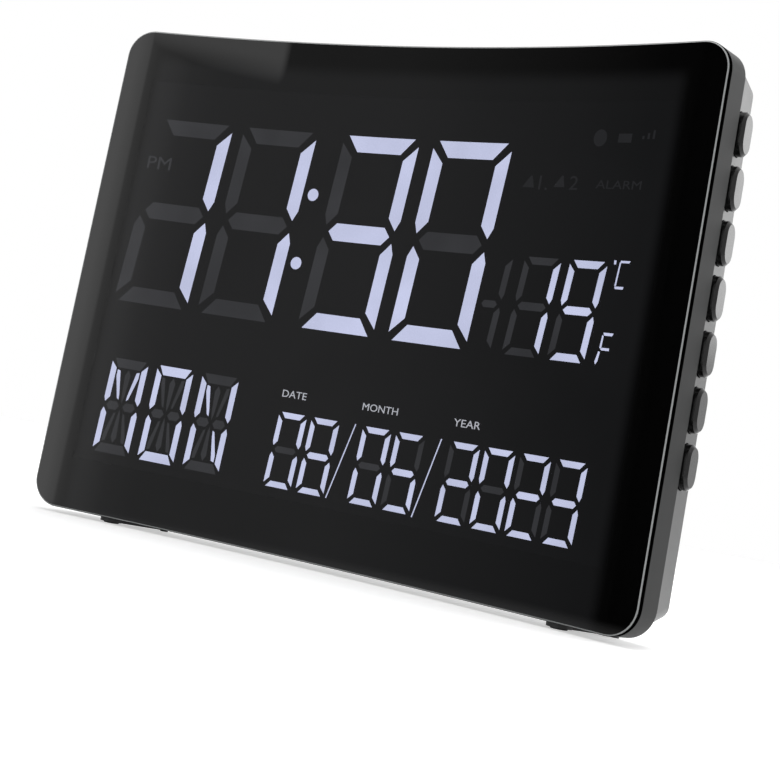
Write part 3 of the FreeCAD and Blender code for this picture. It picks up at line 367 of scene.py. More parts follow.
# %% Smoked acrylic with a ground bevel
BORDER_SIDE = 0.0145
BORDER_END = 0.0208
GLOW_SIDE = (0.0125, 0.0195)
GLOW_TOP = (0.0080, 0.0155)
GLOW_STRENGTH = 0.0070
GLOW_DRIFT = (0.85, 1.1)
GROUND_DEPTH = 0.0004
BROAD_FACE = 0.97
BEVEL_STARTS = (0.20, 0.45)
BEVEL_ENDS = (0.85, BROAD_FACE)
EDGE_ROUGHNESS = 0.5
POLISH = (0.0, 0.004)
INK = (0.0015, 0.0015, 0.0015)
SMOKE = (0.060, 0.060, 0.062)
GROUND_GREY = (0.36, 0.37, 0.37)
STRAY_LIGHT = (0.92, 0.94, 1.0)


def smoked_acrylic():
    """Dark clear acrylic inside a black border, turned matt and grey on the bevel."""
    material, tree, shader, place = new_material("Smoked acrylic")
    normal = add_node(tree, "ShaderNodeNewGeometry").outputs["True Normal"]
    outward = vector_math(tree, "ADD", place, (0.0, -SCREEN_AXIS, 0.0))
    flat = vector_math(tree, "MULTIPLY", outward, (-1.0, -1.0, 0.0))
    inward = vector_math(tree, "NORMALIZE", flat)
    facing = vector_math(tree, "DOT_PRODUCT", normal, inward, result="Value")
    front = do_math(tree, "GREATER_THAN", facing, BROAD_FACE)
    broad = do_math(tree, "GREATER_THAN", do_math(tree, "ABSOLUTE", facing), BROAD_FACE)
    bevel = do_math(tree, "MULTIPLY", spread(tree, facing, *BEVEL_STARTS, 0.0, 1.0),
                    spread(tree, facing, *BEVEL_ENDS, 1.0, 0.0))
    arc, rise, depth = screen_measures(tree, place)
    off_middle = do_math(tree, "ABSOLUTE", arc)
    ground = do_math(tree, "MULTIPLY", bevel, do_math(tree, "LESS_THAN", depth, GROUND_DEPTH))
    clear = do_math(
        tree, "MULTIPLY", do_math(tree, "LESS_THAN", off_middle, HALF_ARC - BORDER_SIDE),
        do_math(tree, "LESS_THAN", do_math(tree, "ABSOLUTE", rise), HALF_HEIGHT - BORDER_END))
    # Painted shade: the sheet's sides and all its edge except the ground front bevel get full metallic
    # with a black tint. They mirror almost nothing and stay black, in place of the shadow in the gap
    # between the sheet and the tray.
    painted_shade = do_math(tree, "SUBTRACT", do_math(tree, "SUBTRACT", 1.0, broad), ground, clamp=True)
    side = spread(tree, off_middle, HALF_ARC - GLOW_SIDE[1], HALF_ARC - GLOW_SIDE[0], 1.0, 0.0, True)
    end = spread(tree, rise, HALF_HEIGHT - GLOW_TOP[1], HALF_HEIGHT - GLOW_TOP[0], 1.0, 0.0, True)
    window = do_math(tree, "MULTIPLY", do_math(tree, "MULTIPLY", side, end), front)
    slow = noise(tree, place, 18.0, 3.0)
    glow = do_math(tree, "MULTIPLY", window, spread(tree, slow, *NOISE_RANGE, *GLOW_DRIFT))
    polish = spread(tree, slow, *NOISE_RANGE, *POLISH)
    roughness = add_node(tree, "ShaderNodeMix", {"Factor": broad, "A": EDGE_ROUGHNESS, "B": polish})
    smoked = mix_colours(tree, clear, INK, SMOKE)
    fill(tree, shader, {
        "Base Color": mix_colours(tree, ground, smoked, GROUND_GREY),
        "Roughness": roughness.outputs["Result"],
        "Metallic": painted_shade,
        "Specular Tint": mix_colours(tree, painted_shade, WHITE, BLACK),
        "Transmission Weight": do_math(tree, "MULTIPLY", clear, do_math(tree, "SUBTRACT", 1.0, bevel)),
        "Emission Color": mix_colours(tree, glow, BLACK, STRAY_LIGHT),
        "Emission Strength": GLOW_STRENGTH,
        "IOR": 1.33})
    return material


finishes["black_acrylic"] = smoked_acrylic()
print("smoked acrylic ready")


# %% [markdown]
# ## The printed film
# Behind the acrylic lies a film printed black except where the bars shine through. Its ink is
# matt and nearly takes in all light, and a wide noise gives it the slight unevenness of a print.

# %% Black print
def printed_film():
    """Matt black ink."""
    material, tree, shader, place = new_material("Printed film")
    cloud = noise(tree, place, 14.0, 2.0)
    fill(tree, shader, {
        "Base Color": mix_colours(tree, cloud, (0.0008, 0.0008, 0.0008), (0.0016, 0.0016, 0.0016)),
        "Roughness": spread(tree, cloud, *NOISE_RANGE, 0.7, 0.8),
        "Specular IOR Level": 0.05})
    return material


finishes["printed_film"] = printed_film()
print("film ready")


# %% [markdown]
# ## Dress the solids
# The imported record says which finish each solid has, so one loop gives every one its material.

# %% Give every solid its material
for part in frame["record"]["subparts"]:
    solid = frame["nodes"][part["node"]]
    if not solid.data.materials:
        solid.data.materials.append(None)
    for slot in solid.material_slots:
        slot.material = finishes[part["material_slot"]]
print(len(frame["nodes"]), "solids dressed")


# %% [markdown]
# ## Bending flat bars onto the screen
# The bars of the digits are easiest to draw flat, with millimetres round and up from the middle of
# the screen, and then to bend all together. A small Geometry Nodes tree does that: the distance
# round becomes an angle, and the height above the paper becomes depth. The polygons are first cut
# every few millimetres so that they can follow the bend.

# %% The bending tree
def start_tree(name, inputs):
    """A Geometry Nodes tree with these inputs besides its geometry and material."""
    tree = bpy.data.node_groups.new(name, "GeometryNodeTree")
    for label, kind in {"Geometry": "Geometry", **inputs, "Material": "Material"}.items():
        tree.interface.new_socket(label, in_out="INPUT", socket_type="NodeSocket" + kind)
    tree.interface.new_socket("Geometry", in_out="OUTPUT", socket_type="NodeSocketGeometry")
    return tree, add_node(tree, "NodeGroupInput").outputs


def end_tree(tree, given, geometry):
    """Makes a tree's copies real, gives them its material and sends them out."""
    solid = add_node(tree, "GeometryNodeRealizeInstances", {"Geometry": geometry})
    dressed = add_node(tree, "GeometryNodeSetMaterial", {
        "Geometry": solid.outputs["Geometry"], "Material": given["Material"]})
    add_node(tree, "NodeGroupOutput", {"Geometry": dressed.outputs["Geometry"]})
    return tree


def bending_tree():
    """A tree that wraps a flat drawing round the screen and gives it a material."""
    tree, given = start_tree("Bend onto the screen", {
        "Screen Radius": "Float", "Axis Distance": "Float", "Middle Height": "Float"})
    place = add_node(tree, "ShaderNodeSeparateXYZ", {
        "Vector": add_node(tree, "GeometryNodeInputPosition").outputs["Position"]}).outputs
    angle = do_math(tree, "DIVIDE", place["X"], given["Screen Radius"])
    reach = do_math(tree, "ADD", given["Screen Radius"], place["Z"])
    across = do_math(tree, "MULTIPLY", reach, do_math(tree, "SINE", angle))
    along = do_math(tree, "MULTIPLY", reach, do_math(tree, "COSINE", angle))
    bent = add_node(tree, "ShaderNodeCombineXYZ", {
        "X": across, "Y": do_math(tree, "ADD", along, given["Axis Distance"]),
        "Z": do_math(tree, "ADD", place["Y"], given["Middle Height"])})
    moved = add_node(tree, "GeometryNodeSetPosition", {
        "Geometry": given["Geometry"], "Position": bent.outputs["Vector"]})
    return end_tree(tree, given, moved.outputs["Geometry"])


def finished_mesh(thing):
    """A plain mesh of what an object's modifiers or letters make."""
    seen = thing.evaluated_get(bpy.context.evaluated_depsgraph_get())
    return bpy.data.meshes.new_from_object(seen)


def run_tree(name, mesh, tree, values):
    """Runs a tree on a mesh and keeps the result as a plain mesh object."""
    thing = add_object(name, mesh)
    modifier = thing.modifiers.new("Make", "NODES")
    modifier.node_group = tree
    for item in tree.interface.items_tree:
        if item.in_out == "INPUT" and item.name in values:
            modifier[item.identifier] = values[item.name]
    made = finished_mesh(thing)
    thing.modifiers.clear()
    thing.data = made
    made.name = name
    return thing


bend = bending_tree()
print("bending tree with", len(bend.nodes), "nodes")


# %% [markdown]
# ## The shapes of the bars
# A digit is made of seven bars with slanting ends that leave thin gaps between them, and it leans a
# little to the right. The same rule serves three sizes, so each size is a set of numbers: the
# digit's width and height, the thickness of its level and upright bars, and how far their ends are
# cut back. A bar's outline is worked out once for an upright digit and then leant over.

# %% Seven bars
class Digits:
    """The numbers of one size of digit, in millimetres."""

    def __init__(self, width, height, base, lean, level, upright, **cuts):
        self.width = width
        self.height = height
        self.base = base
        self.lean = lean
        self.level = level
        self.upright = upright
        self.cuts = cuts


TIME = Digits(33.5, 77.0, -13.6, 0.059, 6.4, 5.4,
              start=2.1, slope=5.1, tip=3.0, shoulder=5.7, waist=2.5, near=3.3, far=6.2, half=3.45)
DATE = Digits(12.3, 28.65, -75.3, 0.041, 2.2, 2.0,
              start=1.15, slope=1.76, tip=1.35, shoulder=2.1, waist=1.35, near=1.45, far=2.45, half=1.2)
DEGREES = Digits(14.8, 35.6, -13.4, 0.080, 2.7, 2.4,
                 start=1.3, slope=2.2, tip=1.5, shoulder=2.5, waist=1.5, near=1.7, far=3.0, half=1.45)
LETTERS = Digits(16.5, 38.2, -75.1, 0.024, 3.7, 2.45,
                 start=1.05, slope=2.1, tip=1.5, shoulder=2.5, waist=1.2, near=1.7, far=2.9, half=1.7)


def mirrored(outline, width=None, height=None):
    """An outline turned over left to right or top to bottom."""
    flipped = []
    for x, y in outline:
        flipped.append((width - x if width else x, height - y if height else y))
    return flipped


def seven_bars(kind):
    """The outlines of the seven bars of an upright digit, by their usual letters a to g."""
    w, h, c = kind.width, kind.height, kind.cuts
    top = [(c["start"], h), (w - c["start"], h), (w - c["start"] - c["slope"], h - kind.level),
           (c["start"] + c["slope"], h - kind.level)]
    low_end = h / 2 + c["waist"]
    right = [(w, h - c["tip"]), (w - kind.upright, h - c["tip"] - c["shoulder"]),
             (w - kind.upright, low_end + 0.87 * kind.upright), (w - 0.3 * kind.upright, low_end),
             (w, low_end + 0.75 * kind.upright)]
    middle = [(c["near"], h / 2), (c["far"], h / 2 + c["half"]), (w - c["far"], h / 2 + c["half"]),
              (w - c["near"], h / 2), (w - c["far"], h / 2 - c["half"]), (c["far"], h / 2 - c["half"])]
    return {
        "a": top, "b": right, "c": mirrored(right, height=h), "d": mirrored(top, height=h),
        "e": mirrored(mirrored(right, width=w), height=h), "f": mirrored(right, width=w), "g": middle,
    }


print("bars of a digit:", sorted(seven_bars(TIME)))


# %% [markdown]
# ## The letters of the day
# The day needs letters, so its three places have fourteen bars each: the middle bar is split in
# two, an upright runs down the centre and four slanting bars fill the quarters. These extra bars
# are narrow and pointed at both ends.

# %% Fourteen bars
def fourteen_bars(kind):
    """The outlines of the fourteen bars of a letter place."""
    bars = seven_bars(kind)
    del bars["g"]
    w, h = kind.width, kind.height
    middle = h / 2
    half = kind.cuts["half"]
    left = [(1.7, middle), (2.9, middle + half), (6.2, middle + half), (7.4, middle),
            (6.2, middle - half), (2.9, middle - half)]
    inner = kind.upright + 0.75
    high = h - kind.level - 0.8
    low = middle + half + 0.9
    slanting = [(inner, high), (inner + 1.3, high - 0.4), (w / 2 - 1.9, low + 2.2),
                (w / 2 - 1.7, low), (w / 2 - 2.6, low + 0.6), (inner, high - 2.6)]
    upright = [(w / 2, high + 0.2), (w / 2 + 1.25, high - 2.0), (w / 2 + 0.6, low + 1.4),
               (w / 2, low - 1.3), (w / 2 - 0.6, low + 1.4), (w / 2 - 1.25, high - 2.0)]
    bars["g"] = left
    bars["j"] = mirrored(left, width=w)
    bars["h"] = slanting
    bars["k"] = mirrored(slanting, width=w)
    bars["i"] = upright
    bars["l"] = mirrored(upright, height=h)
    bars["n"] = mirrored(slanting, height=h)
    bars["m"] = mirrored(bars["k"], height=h)
    return bars


print("bars of a letter:", sorted(fourteen_bars(LETTERS)))


# %% [markdown]
# ## What the clock shows
# The display is laid out from lists: where each digit starts, and which of its bars are lit. It
# reads half past eleven, nineteen degrees and a date. The bars that are not lit still show faintly,
# so they are kept in a second list. The first digit of the hour is only ever a one or a two, so it
# has no upper left bar, and the afternoon mark stands there.

# %% Lay out the display
LIT_BARS = {
    "0": "abcdef", "1": "bc", "2": "abged", "3": "abgcd", "5": "afgcd", "8": "abcdefg", "9": "abcfgd",
    "M": "efhkbc", "O": "abcdef", "N": "efhmbc",
}
lit_outlines = []
faint_outlines = []


def lay_out(kind, bars, left, character):
    """Adds one digit or letter, its lower left corner at left, to the two lists."""
    for letter, outline in bars.items():
        placed = [(left + x + kind.lean * y, kind.base + y) for x, y in outline]
        if letter in LIT_BARS.get(character, ""):
            lit_outlines.append(placed)
        else:
            faint_outlines.append(placed)


first_digit = seven_bars(TIME)
del first_digit["f"]
lay_out(TIME, first_digit, -113.1, "1")
for left, character in zip((-74.5, -28.7, 11.2), "130"):
    lay_out(TIME, seven_bars(TIME), left, character)
for left, character in zip((-29.9, -15.4, 7.3, 21.8, 44.9, 59.4, 73.8, 88.2), "08052023"):
    lay_out(DATE, seven_bars(DATE), left, character)
for left, character in zip((59.8, 78.2), "19"):
    lay_out(DEGREES, seven_bars(DEGREES), left, character)
for left, character in zip((-108.4, -87.6, -66.8), "MON"):
    lay_out(LETTERS, fourteen_bars(LETTERS), left, character)
print(len(lit_outlines), "lit bars,", len(faint_outlines), "faint bars")


# %% [markdown]
# ## Small marks
# Round dots part the hours from the minutes, thin strokes part the day, month and year, and thin
# bars make the two degree letters. Faint marks wait in the corner for an alarm and for the radio
# signal. They are drawn straight from their places on the screen.

# %% Dots, strokes and faint marks
def disc(arc, rise, half_width, half_height, steps=28):
    """An oval outline."""
    outline = []
    for step in range(steps):
        angle = 2 * math.pi * step / steps
        outline.append((arc + half_width * math.cos(angle), rise + half_height * math.sin(angle)))
    return outline


def stroke(start, end, width):
    """A thin straight mark."""
    along = Vector(end) - Vector(start)
    side = Vector((-along.y, along.x)).normalized() * width / 2
    return [tuple(Vector(p) + s) for p, s in (
        (start, side), (end, side), (end, -side), (start, -side))]


lit_outlines += [
    disc(-33.2, 38.6, 2.35, 2.45),
    disc(-34.7, 11.0, 2.35, 2.45),
    stroke((5.0, -46.5), (-1.8, -75.3), 0.45),
    stroke((42.0, -46.5), (35.5, -75.8), 0.45),
]
degree_letters = [
    [(98.0, 23.0), (98.9, 23.0), (98.9, 21.6), (98.2, 21.6)],
    [(100.6, 23.0), (104.4, 23.0), (103.9, 22.2), (100.6, 22.2)],
    [(100.3, 22.4), (100.8, 22.4), (100.3, 14.2), (99.7, 14.2)],
    [(99.7, 14.0), (103.3, 14.0), (103.1, 13.1), (100.1, 13.1)],
    [(98.7, -2.1), (102.6, -2.1), (102.2, -3.1), (99.1, -3.1)],
    [(98.4, -3.0), (99.0, -3.2), (98.8, -7.5), (98.1, -7.5)],
    [(98.4, -7.8), (99.2, -7.3), (101.9, -7.3), (101.9, -8.2), (99.0, -8.2)],
    [(97.9, -8.6), (98.6, -8.8), (98.2, -12.0), (97.5, -13.2), (97.1, -12.3)],
]
lit_outlines += degree_letters
extra_one = seven_bars(DEGREES)
for letter in "bc":
    faint_outlines.append([(40.2 + x + DEGREES.lean * y, DEGREES.base + y) for x, y in extra_one[letter]])
faint_outlines.append([(48.0, 3.9), (49.0, 5.2), (53.4, 5.2), (54.4, 3.9), (53.4, 2.6), (49.0, 2.6)])
print(len(lit_outlines), "lit shapes,", len(faint_outlines), "faint shapes")


# %% [markdown]
# ## From outlines to thin solids
# Each outline becomes a thin closed prism, deep enough to be a solid piece, and is cut every few
# millimetres along the arc so that it can bend. Positive height is depth behind the front.

# %% Prisms
FRONT_DEPTH = 2.02
BACK_DEPTH = 2.08
CUT_EVERY = 5.0
CUTS_EACH_SIDE = 26


def prism_mesh(name, outlines):
    """A flat mesh in metres with one thin closed prism for each outline in millimetres."""
    shapes = bmesh.new()
    for outline in outlines:
        corners = [shapes.verts.new((x, y, FRONT_DEPTH)) for x, y in outline]
        face = shapes.faces.new(corners)
        pushed = bmesh.ops.extrude_face_region(shapes, geom=[face])["geom"]
        for corner in pushed:
            if isinstance(corner, bmesh.types.BMVert):
                corner.co.z = BACK_DEPTH
    for cut in range(-CUTS_EACH_SIDE, CUTS_EACH_SIDE + 1):
        bmesh.ops.bisect_plane(
            shapes, geom=shapes.verts[:] + shapes.edges[:] + shapes.faces[:],
            plane_co=(cut * CUT_EVERY, 0, 0), plane_no=(1, 0, 0))
    bmesh.ops.scale(shapes, vec=(MM, MM, MM), verts=shapes.verts)
    bmesh.ops.recalc_face_normals(shapes, faces=shapes.faces)
    mesh = bpy.data.meshes.new(name)
    shapes.to_mesh(mesh)
    shapes.free()
    return mesh


print("prisms run from", FRONT_DEPTH, "to", BACK_DEPTH, "mm behind the front")


# %% [markdown]
# ## Small words
# The date's three captions and the faint alarm marks are lettering, which Blender's own font gives.
# A text object is turned into a mesh, measured, and scaled to the width and height that the word
# has on the screen.

# %% Words as outlines
SAME_POINT = 1e-7


def word_mesh(text, left, base, width, height):
    """A flat word as a thin solid mesh in metres."""
    curve = bpy.data.curves.new(text, "FONT")
    curve.body = text
    curve.extrude = 0.5
    curve.resolution_u = 3
    holder = add_object(text, curve)
    bpy.context.view_layer.update()
    mesh = finished_mesh(holder)
    bpy.data.objects.remove(holder)
    places = [vertex.co for vertex in mesh.vertices]
    low = [min(place[i] for place in places) for i in range(3)]
    high = [max(place[i] for place in places) for i in range(3)]
    corner = (left, base, FRONT_DEPTH)
    size = (width, height, BACK_DEPTH - FRONT_DEPTH)
    for place in places:
        for i in range(3):
            place[i] = (corner[i] + (place[i] - low[i]) / (high[i] - low[i]) * size[i]) * MM
    return mesh


def joined(name, meshes):
    """Several meshes as one, with the points that meet made one and all faces outwards."""
    whole = bmesh.new()
    for mesh in meshes:
        whole.from_mesh(mesh)
    bmesh.ops.remove_doubles(whole, verts=whole.verts, dist=SAME_POINT)
    bmesh.ops.recalc_face_normals(whole, faces=whole.faces)
    mesh = bpy.data.meshes.new(name)
    whole.to_mesh(mesh)
    whole.free()
    return mesh


captions = [
    word_mesh("DATE", -29.1, -40.9, 10.7, 2.7),
    word_mesh("MONTH", 6.5, -40.9, 15.3, 2.7),
    word_mesh("YEAR", 45.7, -41.2, 11.1, 2.7),
]
afternoon = word_mesh("PM", -111.0, 42.2, 10.8, 5.2)
faint_words = [
    word_mesh("1.", 62.6, 46.7, 3.6, 5.2),
    word_mesh("2", 75.0, 47.2, 3.4, 5.0),
    word_mesh("ALARM", 85.6, 48.0, 17.8, 3.0),
]
print(len(captions), "captions,", len(faint_words), "faint words")


# %% [markdown]
# ## The glow of the bars
# A bar is a window in the black print, lit from behind by small lamps. The light is bluish white
# and a little brighter over each lamp, so a slow noise changes its strength. The acrylic in front
# takes most of it away again, so the number is many times what is seen. The bars that are off
# still catch a little stray light.

# %% Glowing marks
LIT_LIGHT = 13.5
FAINT_LIGHT = 0.50
TRACE_LIGHT = 0.20
CAPTION_LIGHT = 8.2
LAMP_COLOUR = (0.72, 0.76, 1.0)
STRAY_COLOUR = (0.90, 0.92, 1.0)
CAPTION_COLOUR = (0.92, 0.94, 1.0)


def glowing(name, colour, strength, uneven):
    """A lit window whose brightness drifts by the share uneven."""
    material, tree, shader, place = new_material(name)
    cloud = noise(tree, place, 55.0, 1.0)
    shade = spread(tree, cloud, *NOISE_RANGE, 1.0 - uneven, 1.0)
    fill(tree, shader, {
        "Base Color": mix_colours(tree, cloud, (0.02, 0.02, 0.02), (0.03, 0.03, 0.03)),
        "Roughness": 0.6,
        "Specular IOR Level": 0.05,
        "Emission Color": mix_colours(tree, shade, BLACK, colour),
        "Emission Strength": strength})
    return material


lit_window = glowing("Lit window", LAMP_COLOUR, LIT_LIGHT, 0.14)
faint_window = glowing("Dark window", STRAY_COLOUR, FAINT_LIGHT, 0.25)
trace_window = glowing("Trace window", STRAY_COLOUR, TRACE_LIGHT, 0.25)
caption_window = glowing("Caption window", CAPTION_COLOUR, CAPTION_LIGHT, 0.10)
print("four strengths of window")


# %% [markdown]
# ## Bend everything onto the screen
# The flat meshes go through the bending tree, one object for each strength of light. They stand
# just in front of the film and behind the acrylic.

# %% Make the display
screen_values = {"Screen Radius": SCREEN_RADIUS, "Axis Distance": SCREEN_AXIS,
                 "Middle Height": SCREEN_MIDDLE}


def on_screen(name, mesh, window):
    """Bends a flat mesh onto the screen and lets it ride with the case."""
    piece = run_tree(name, mesh, bend, {**screen_values, "Material": window})
    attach(piece, "case")
    return piece


lit_piece = on_screen("lit_segments", prism_mesh("lit", lit_outlines), lit_window)
corner_marks = [
    [(56.0, 47.5), (60.8, 47.4), (59.5, 51.8), (58.9, 51.8)],
    [(68.7, 48.0), (73.1, 48.0), (72.1, 52.2), (71.5, 52.2)],
    disc(84.1, 66.2, 2.6, 3.1),
    [(91.3, 64.6), (96.5, 64.6), (96.5, 67.8), (91.3, 67.8)],
    stroke((101.0, 65.9), (101.0, 67.0), 0.8),
    stroke((103.0, 65.9), (103.0, 68.0), 0.8),
    stroke((105.0, 65.9), (105.0, 69.0), 0.8),
]
faint_piece = on_screen(
    "faint_segments", joined("faint", [prism_mesh("bars", faint_outlines), afternoon]), faint_window)
trace_piece = on_screen(
    "faint_marks", joined("marks", [prism_mesh("corner marks", corner_marks)] + faint_words),
    trace_window)
caption_piece = on_screen("date_captions", joined("captions", captions), caption_window)
for piece in (lit_piece, faint_piece, trace_piece, caption_piece):
    print(piece.name, len(piece.data.polygons), "faces")


# %% [markdown]
# ## Screws
# The cover is held by small pan-head screws with a cross recess, and smaller ones hold the board.
# One screw is modelled well: a domed head turned round its axis, a recess cut by two crossed
# wedges, and a ringed shank. A Geometry Nodes tree then puts a copy at each place, each turned by
# its own random angle as a hand-driven screw is, and the copies take the place of the plain solids.

# %% Where the screws are
TOUCHING = 1e-6


def pieces_of(node):
    """The lowest and highest corner of each separate body of a solid, in metres."""
    copy = bmesh.new()
    copy.from_mesh(frame["nodes"][node].data)
    bmesh.ops.remove_doubles(copy, verts=copy.verts, dist=TOUCHING)
    waiting = set(copy.verts)
    boxes = []
    while waiting:
        reached = [waiting.pop()]
        island = []
        while reached:
            corner = reached.pop()
            island.append(corner.co.copy())
            for edge in corner.link_edges:
                other = edge.other_vert(corner)
                if other in waiting:
                    waiting.discard(other)
                    reached.append(other)
        boxes.append([Vector([pick(place[i] for place in island) for i in range(3)])
                      for pick in (min, max)])
    copy.free()
    return boxes


for node in ("case_screws", "board_screws"):
    boxes = pieces_of(node)
    size = boxes[0][1] - boxes[0][0]
    print(node, len(boxes), "screws,", [round(part / MM, 2) for part in size], "mm each")


# %% One screw
def turned_mesh(name, profile, steps=32):
    """A profile of (radius, distance along Y) turned round the Y axis and closed."""
    shape = bmesh.new()
    rings = []
    for radius, along in profile:
        if radius == 0:
            rings.append([shape.verts.new((0, along, 0))])
            continue
        ring = []
        for step in range(steps):
            angle = 2 * math.pi * step / steps
            ring.append(shape.verts.new((radius * math.cos(angle), along, radius * math.sin(angle))))
        rings.append(ring)
    for first, second in zip(rings, rings[1:]):
        for step in range(steps):
            after = (step + 1) % steps
            corners = [first[step % len(first)], first[after % len(first)],
                       second[after % len(second)], second[step % len(second)]]
            shape.faces.new(list(dict.fromkeys(corners)))
    bmesh.ops.recalc_face_normals(shape, faces=shape.faces)
    mesh = bpy.data.meshes.new(name)
    shape.to_mesh(mesh)
    shape.free()
    return mesh


DOME_STEPS = (0.15, 0.3, 0.45, 0.6, 0.75, 0.9)


def screw_profile(head_radius, head_height, shank_radius, length):
    """A pan-head screw's profile from its tip to the top of its head, which is at Y zero."""
    under = -head_height
    profile = [(0, -length), (shank_radius * 0.5, -length + shank_radius * 0.6)]
    pitch = shank_radius * 0.55
    along = -length + shank_radius * 0.8
    while along < under - pitch:
        profile += [(shank_radius, along + pitch * 0.25), (shank_radius * 0.82, along + pitch * 0.75)]
        along += pitch
    profile += [(shank_radius, under - 0.1 * pitch), (shank_radius, under), (head_radius * 0.94, under),
                (head_radius, under * 0.85), (head_radius, under * 0.45)]
    for part in DOME_STEPS:
        angle = part * math.pi / 2
        profile.append((head_radius * (0.45 + 0.55 * math.cos(angle)),
                        under * 0.45 * (1 - math.sin(angle))))
    profile.append((0, 0))
    return profile


def crossed_wedges(head_radius, head_height):
    """Two wedges, crossed and narrowing downwards, that cut the recess."""
    wedges = bmesh.new()
    for turned in (0, math.pi / 2):
        made = bmesh.ops.create_cube(wedges, size=1.0)["verts"]
        for corner in made:
            deep = corner.co.y < 0
            corner.co.x *= head_radius * (0.55 if deep else 1.15)
            corner.co.z *= head_radius * (0.18 if deep else 0.26)
            corner.co.y = -head_height * 0.75 if deep else head_height * 0.3
        bmesh.ops.rotate(wedges, verts=made, matrix=Matrix.Rotation(turned, 3, "Y"))
    mesh = bpy.data.meshes.new("recess")
    wedges.to_mesh(mesh)
    wedges.free()
    return mesh


def cross_screw(name, head_radius, head_height, shank_radius, length):
    """A pan-head screw whose head ends at Y zero, with a cross recess."""
    profile = screw_profile(head_radius, head_height, shank_radius, length)
    screw = add_object(name, turned_mesh(name, profile))
    cutter = add_object("recess", crossed_wedges(head_radius, head_height))
    boolean = screw.modifiers.new("Recess", "BOOLEAN")
    boolean.operation = "DIFFERENCE"
    boolean.solver = "EXACT"
    boolean.use_self = True
    boolean.object = cutter
    mesh = finished_mesh(screw)
    for thing in (screw, cutter):
        bpy.data.objects.remove(thing)
    for face in mesh.polygons:
        face.use_smooth = abs(face.normal.y) < 0.98
    return mesh


# %% The tree that places screws
def screw_tree():
    """A tree that puts a turned copy of a screw on every point."""
    tree, given = start_tree("Drive the screws", {"Screw": "Object", "Seed": "Int"})
    angle = add_node(tree, "FunctionNodeRandomValue", {"Seed": given["Seed"]}, data_type="FLOAT")
    angle.inputs[3].default_value = math.pi
    turned = add_node(tree, "ShaderNodeCombineXYZ", {"Y": angle.outputs[1]})
    pattern = add_node(tree, "GeometryNodeObjectInfo", {"Object": given["Screw"]})
    placed = add_node(tree, "GeometryNodeInstanceOnPoints", {
        "Points": given["Geometry"], "Instance": pattern.outputs["Geometry"],
        "Rotation": turned.outputs["Vector"]})
    return end_tree(tree, given, placed.outputs["Instances"])


drive = screw_tree()


def driven_screws(name, node, head_share, height_share, seed):
    """Detailed screws in place of a solid's plain ones."""
    boxes = pieces_of(node)
    low, high = boxes[0]
    head_radius = (high.x - low.x) / 2
    mesh = cross_screw(name + "_pattern", head_radius, (high.y - low.y) * height_share,
                       head_radius * head_share, high.y - low.y)
    pattern = add_object(name + "_pattern", mesh)
    points = bpy.data.meshes.new(name + "_points")
    points.from_pydata([((a.x + b.x) / 2, b.y, (a.z + b.z) / 2) for a, b in boxes], [], [])
    piece = run_tree(name, points, drive, {
        "Screw": pattern, "Seed": seed, "Material": finishes["screw_steel"]})
    bpy.data.objects.remove(pattern)
    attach(piece, "case")
    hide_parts(node)
    print(name, len(boxes), "screws,", len(piece.data.polygons), "faces")


driven_screws("cover_screws", "case_screws", 0.5, 0.22, 4)
driven_screws("small_screws", "board_screws", 0.5, 0.2, 7)


# %% [markdown]
# ## The floor
# The clock stands on plain white paper. It is a wide sheet with a faint fibre texture. The part of
# the light path that goes to the camera, to a gloss or through clear plastic gets a little added
# white, so that the paper reads as white while the clock's shadow stays on it. In front of the
# clock the paper fades out of what the gloss mirrors, as the dark end of a studio table does.

# %% Paper floor
FLOOR_BOOST = 0.48
FADE_FAR = -0.10
FADE_NEAR = -0.02


def paper():
    """Pale paper that shows white to the camera but keeps shadows."""
    material, tree, shader, place = new_material("Paper")
    fibre = noise(tree, place, 60.0, 5.0)
    ray = add_node(tree, "ShaderNodeLightPath").outputs
    seen = do_math(tree, "ADD", ray["Is Camera Ray"], ray["Is Glossy Ray"])
    seen = do_math(tree, "ADD", seen, ray["Is Transmission Ray"], clamp=True)
    fill(tree, shader, {
        "Base Color": mix_colours(tree, fibre, (0.80, 0.80, 0.80), (0.83, 0.83, 0.83)),
        "Roughness": 0.8,
        "Emission Color": (*WHITE, 1),
        "Emission Strength": do_math(tree, "MULTIPLY", seen, FLOOR_BOOST)})
    ahead = add_node(tree, "ShaderNodeSeparateXYZ", {"Vector": place}).outputs["Y"]
    fading = spread(tree, ahead, FADE_FAR, FADE_NEAR, 1.0, 0.0, True)
    gone = do_math(tree, "MULTIPLY", fading, ray["Is Glossy Ray"])
    clear = add_node(tree, "ShaderNodeBsdfTransparent")
    blend = add_node(tree, "ShaderNodeMixShader", {
        0: gone, 1: shader.outputs["BSDF"], 2: clear.outputs["BSDF"]})
    output = next(node for node in tree.nodes if node.bl_idname == "ShaderNodeOutputMaterial")
    tree.links.new(blend.outputs["Shader"], output.inputs["Surface"])
    return material


floor_mesh = bpy.data.meshes.new("floor")
floor_mesh.from_pydata(
    [(-2.5, -1.5, 0), (2.5, -1.5, 0), (2.5, 3.5, 0), (-2.5, 3.5, 0)], [], [(0, 1, 2, 3)])
floor_mesh.materials.append(paper())
floor = add_object("floor", floor_mesh)
floor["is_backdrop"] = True
print("floor", tuple(round(part, 2) for part in floor.dimensions))


# %% [markdown]
# ## The studio's light
# Product pictures of glossy black things are made with care: what matters is what the gloss
# mirrors. Behind the clock all is white, which runs along its grey side. In front it is dark, but
# for a soft white card to the left of the camera, which washes over the left edge of the screen,
# and a wider one above it, which shows as a paler strip along the top left. The world carries both
# as brightness by compass direction, in degrees to the left of straight ahead. Three soft lamps
# light the rest: one above, one at the side, and one behind that runs along the grey cover.

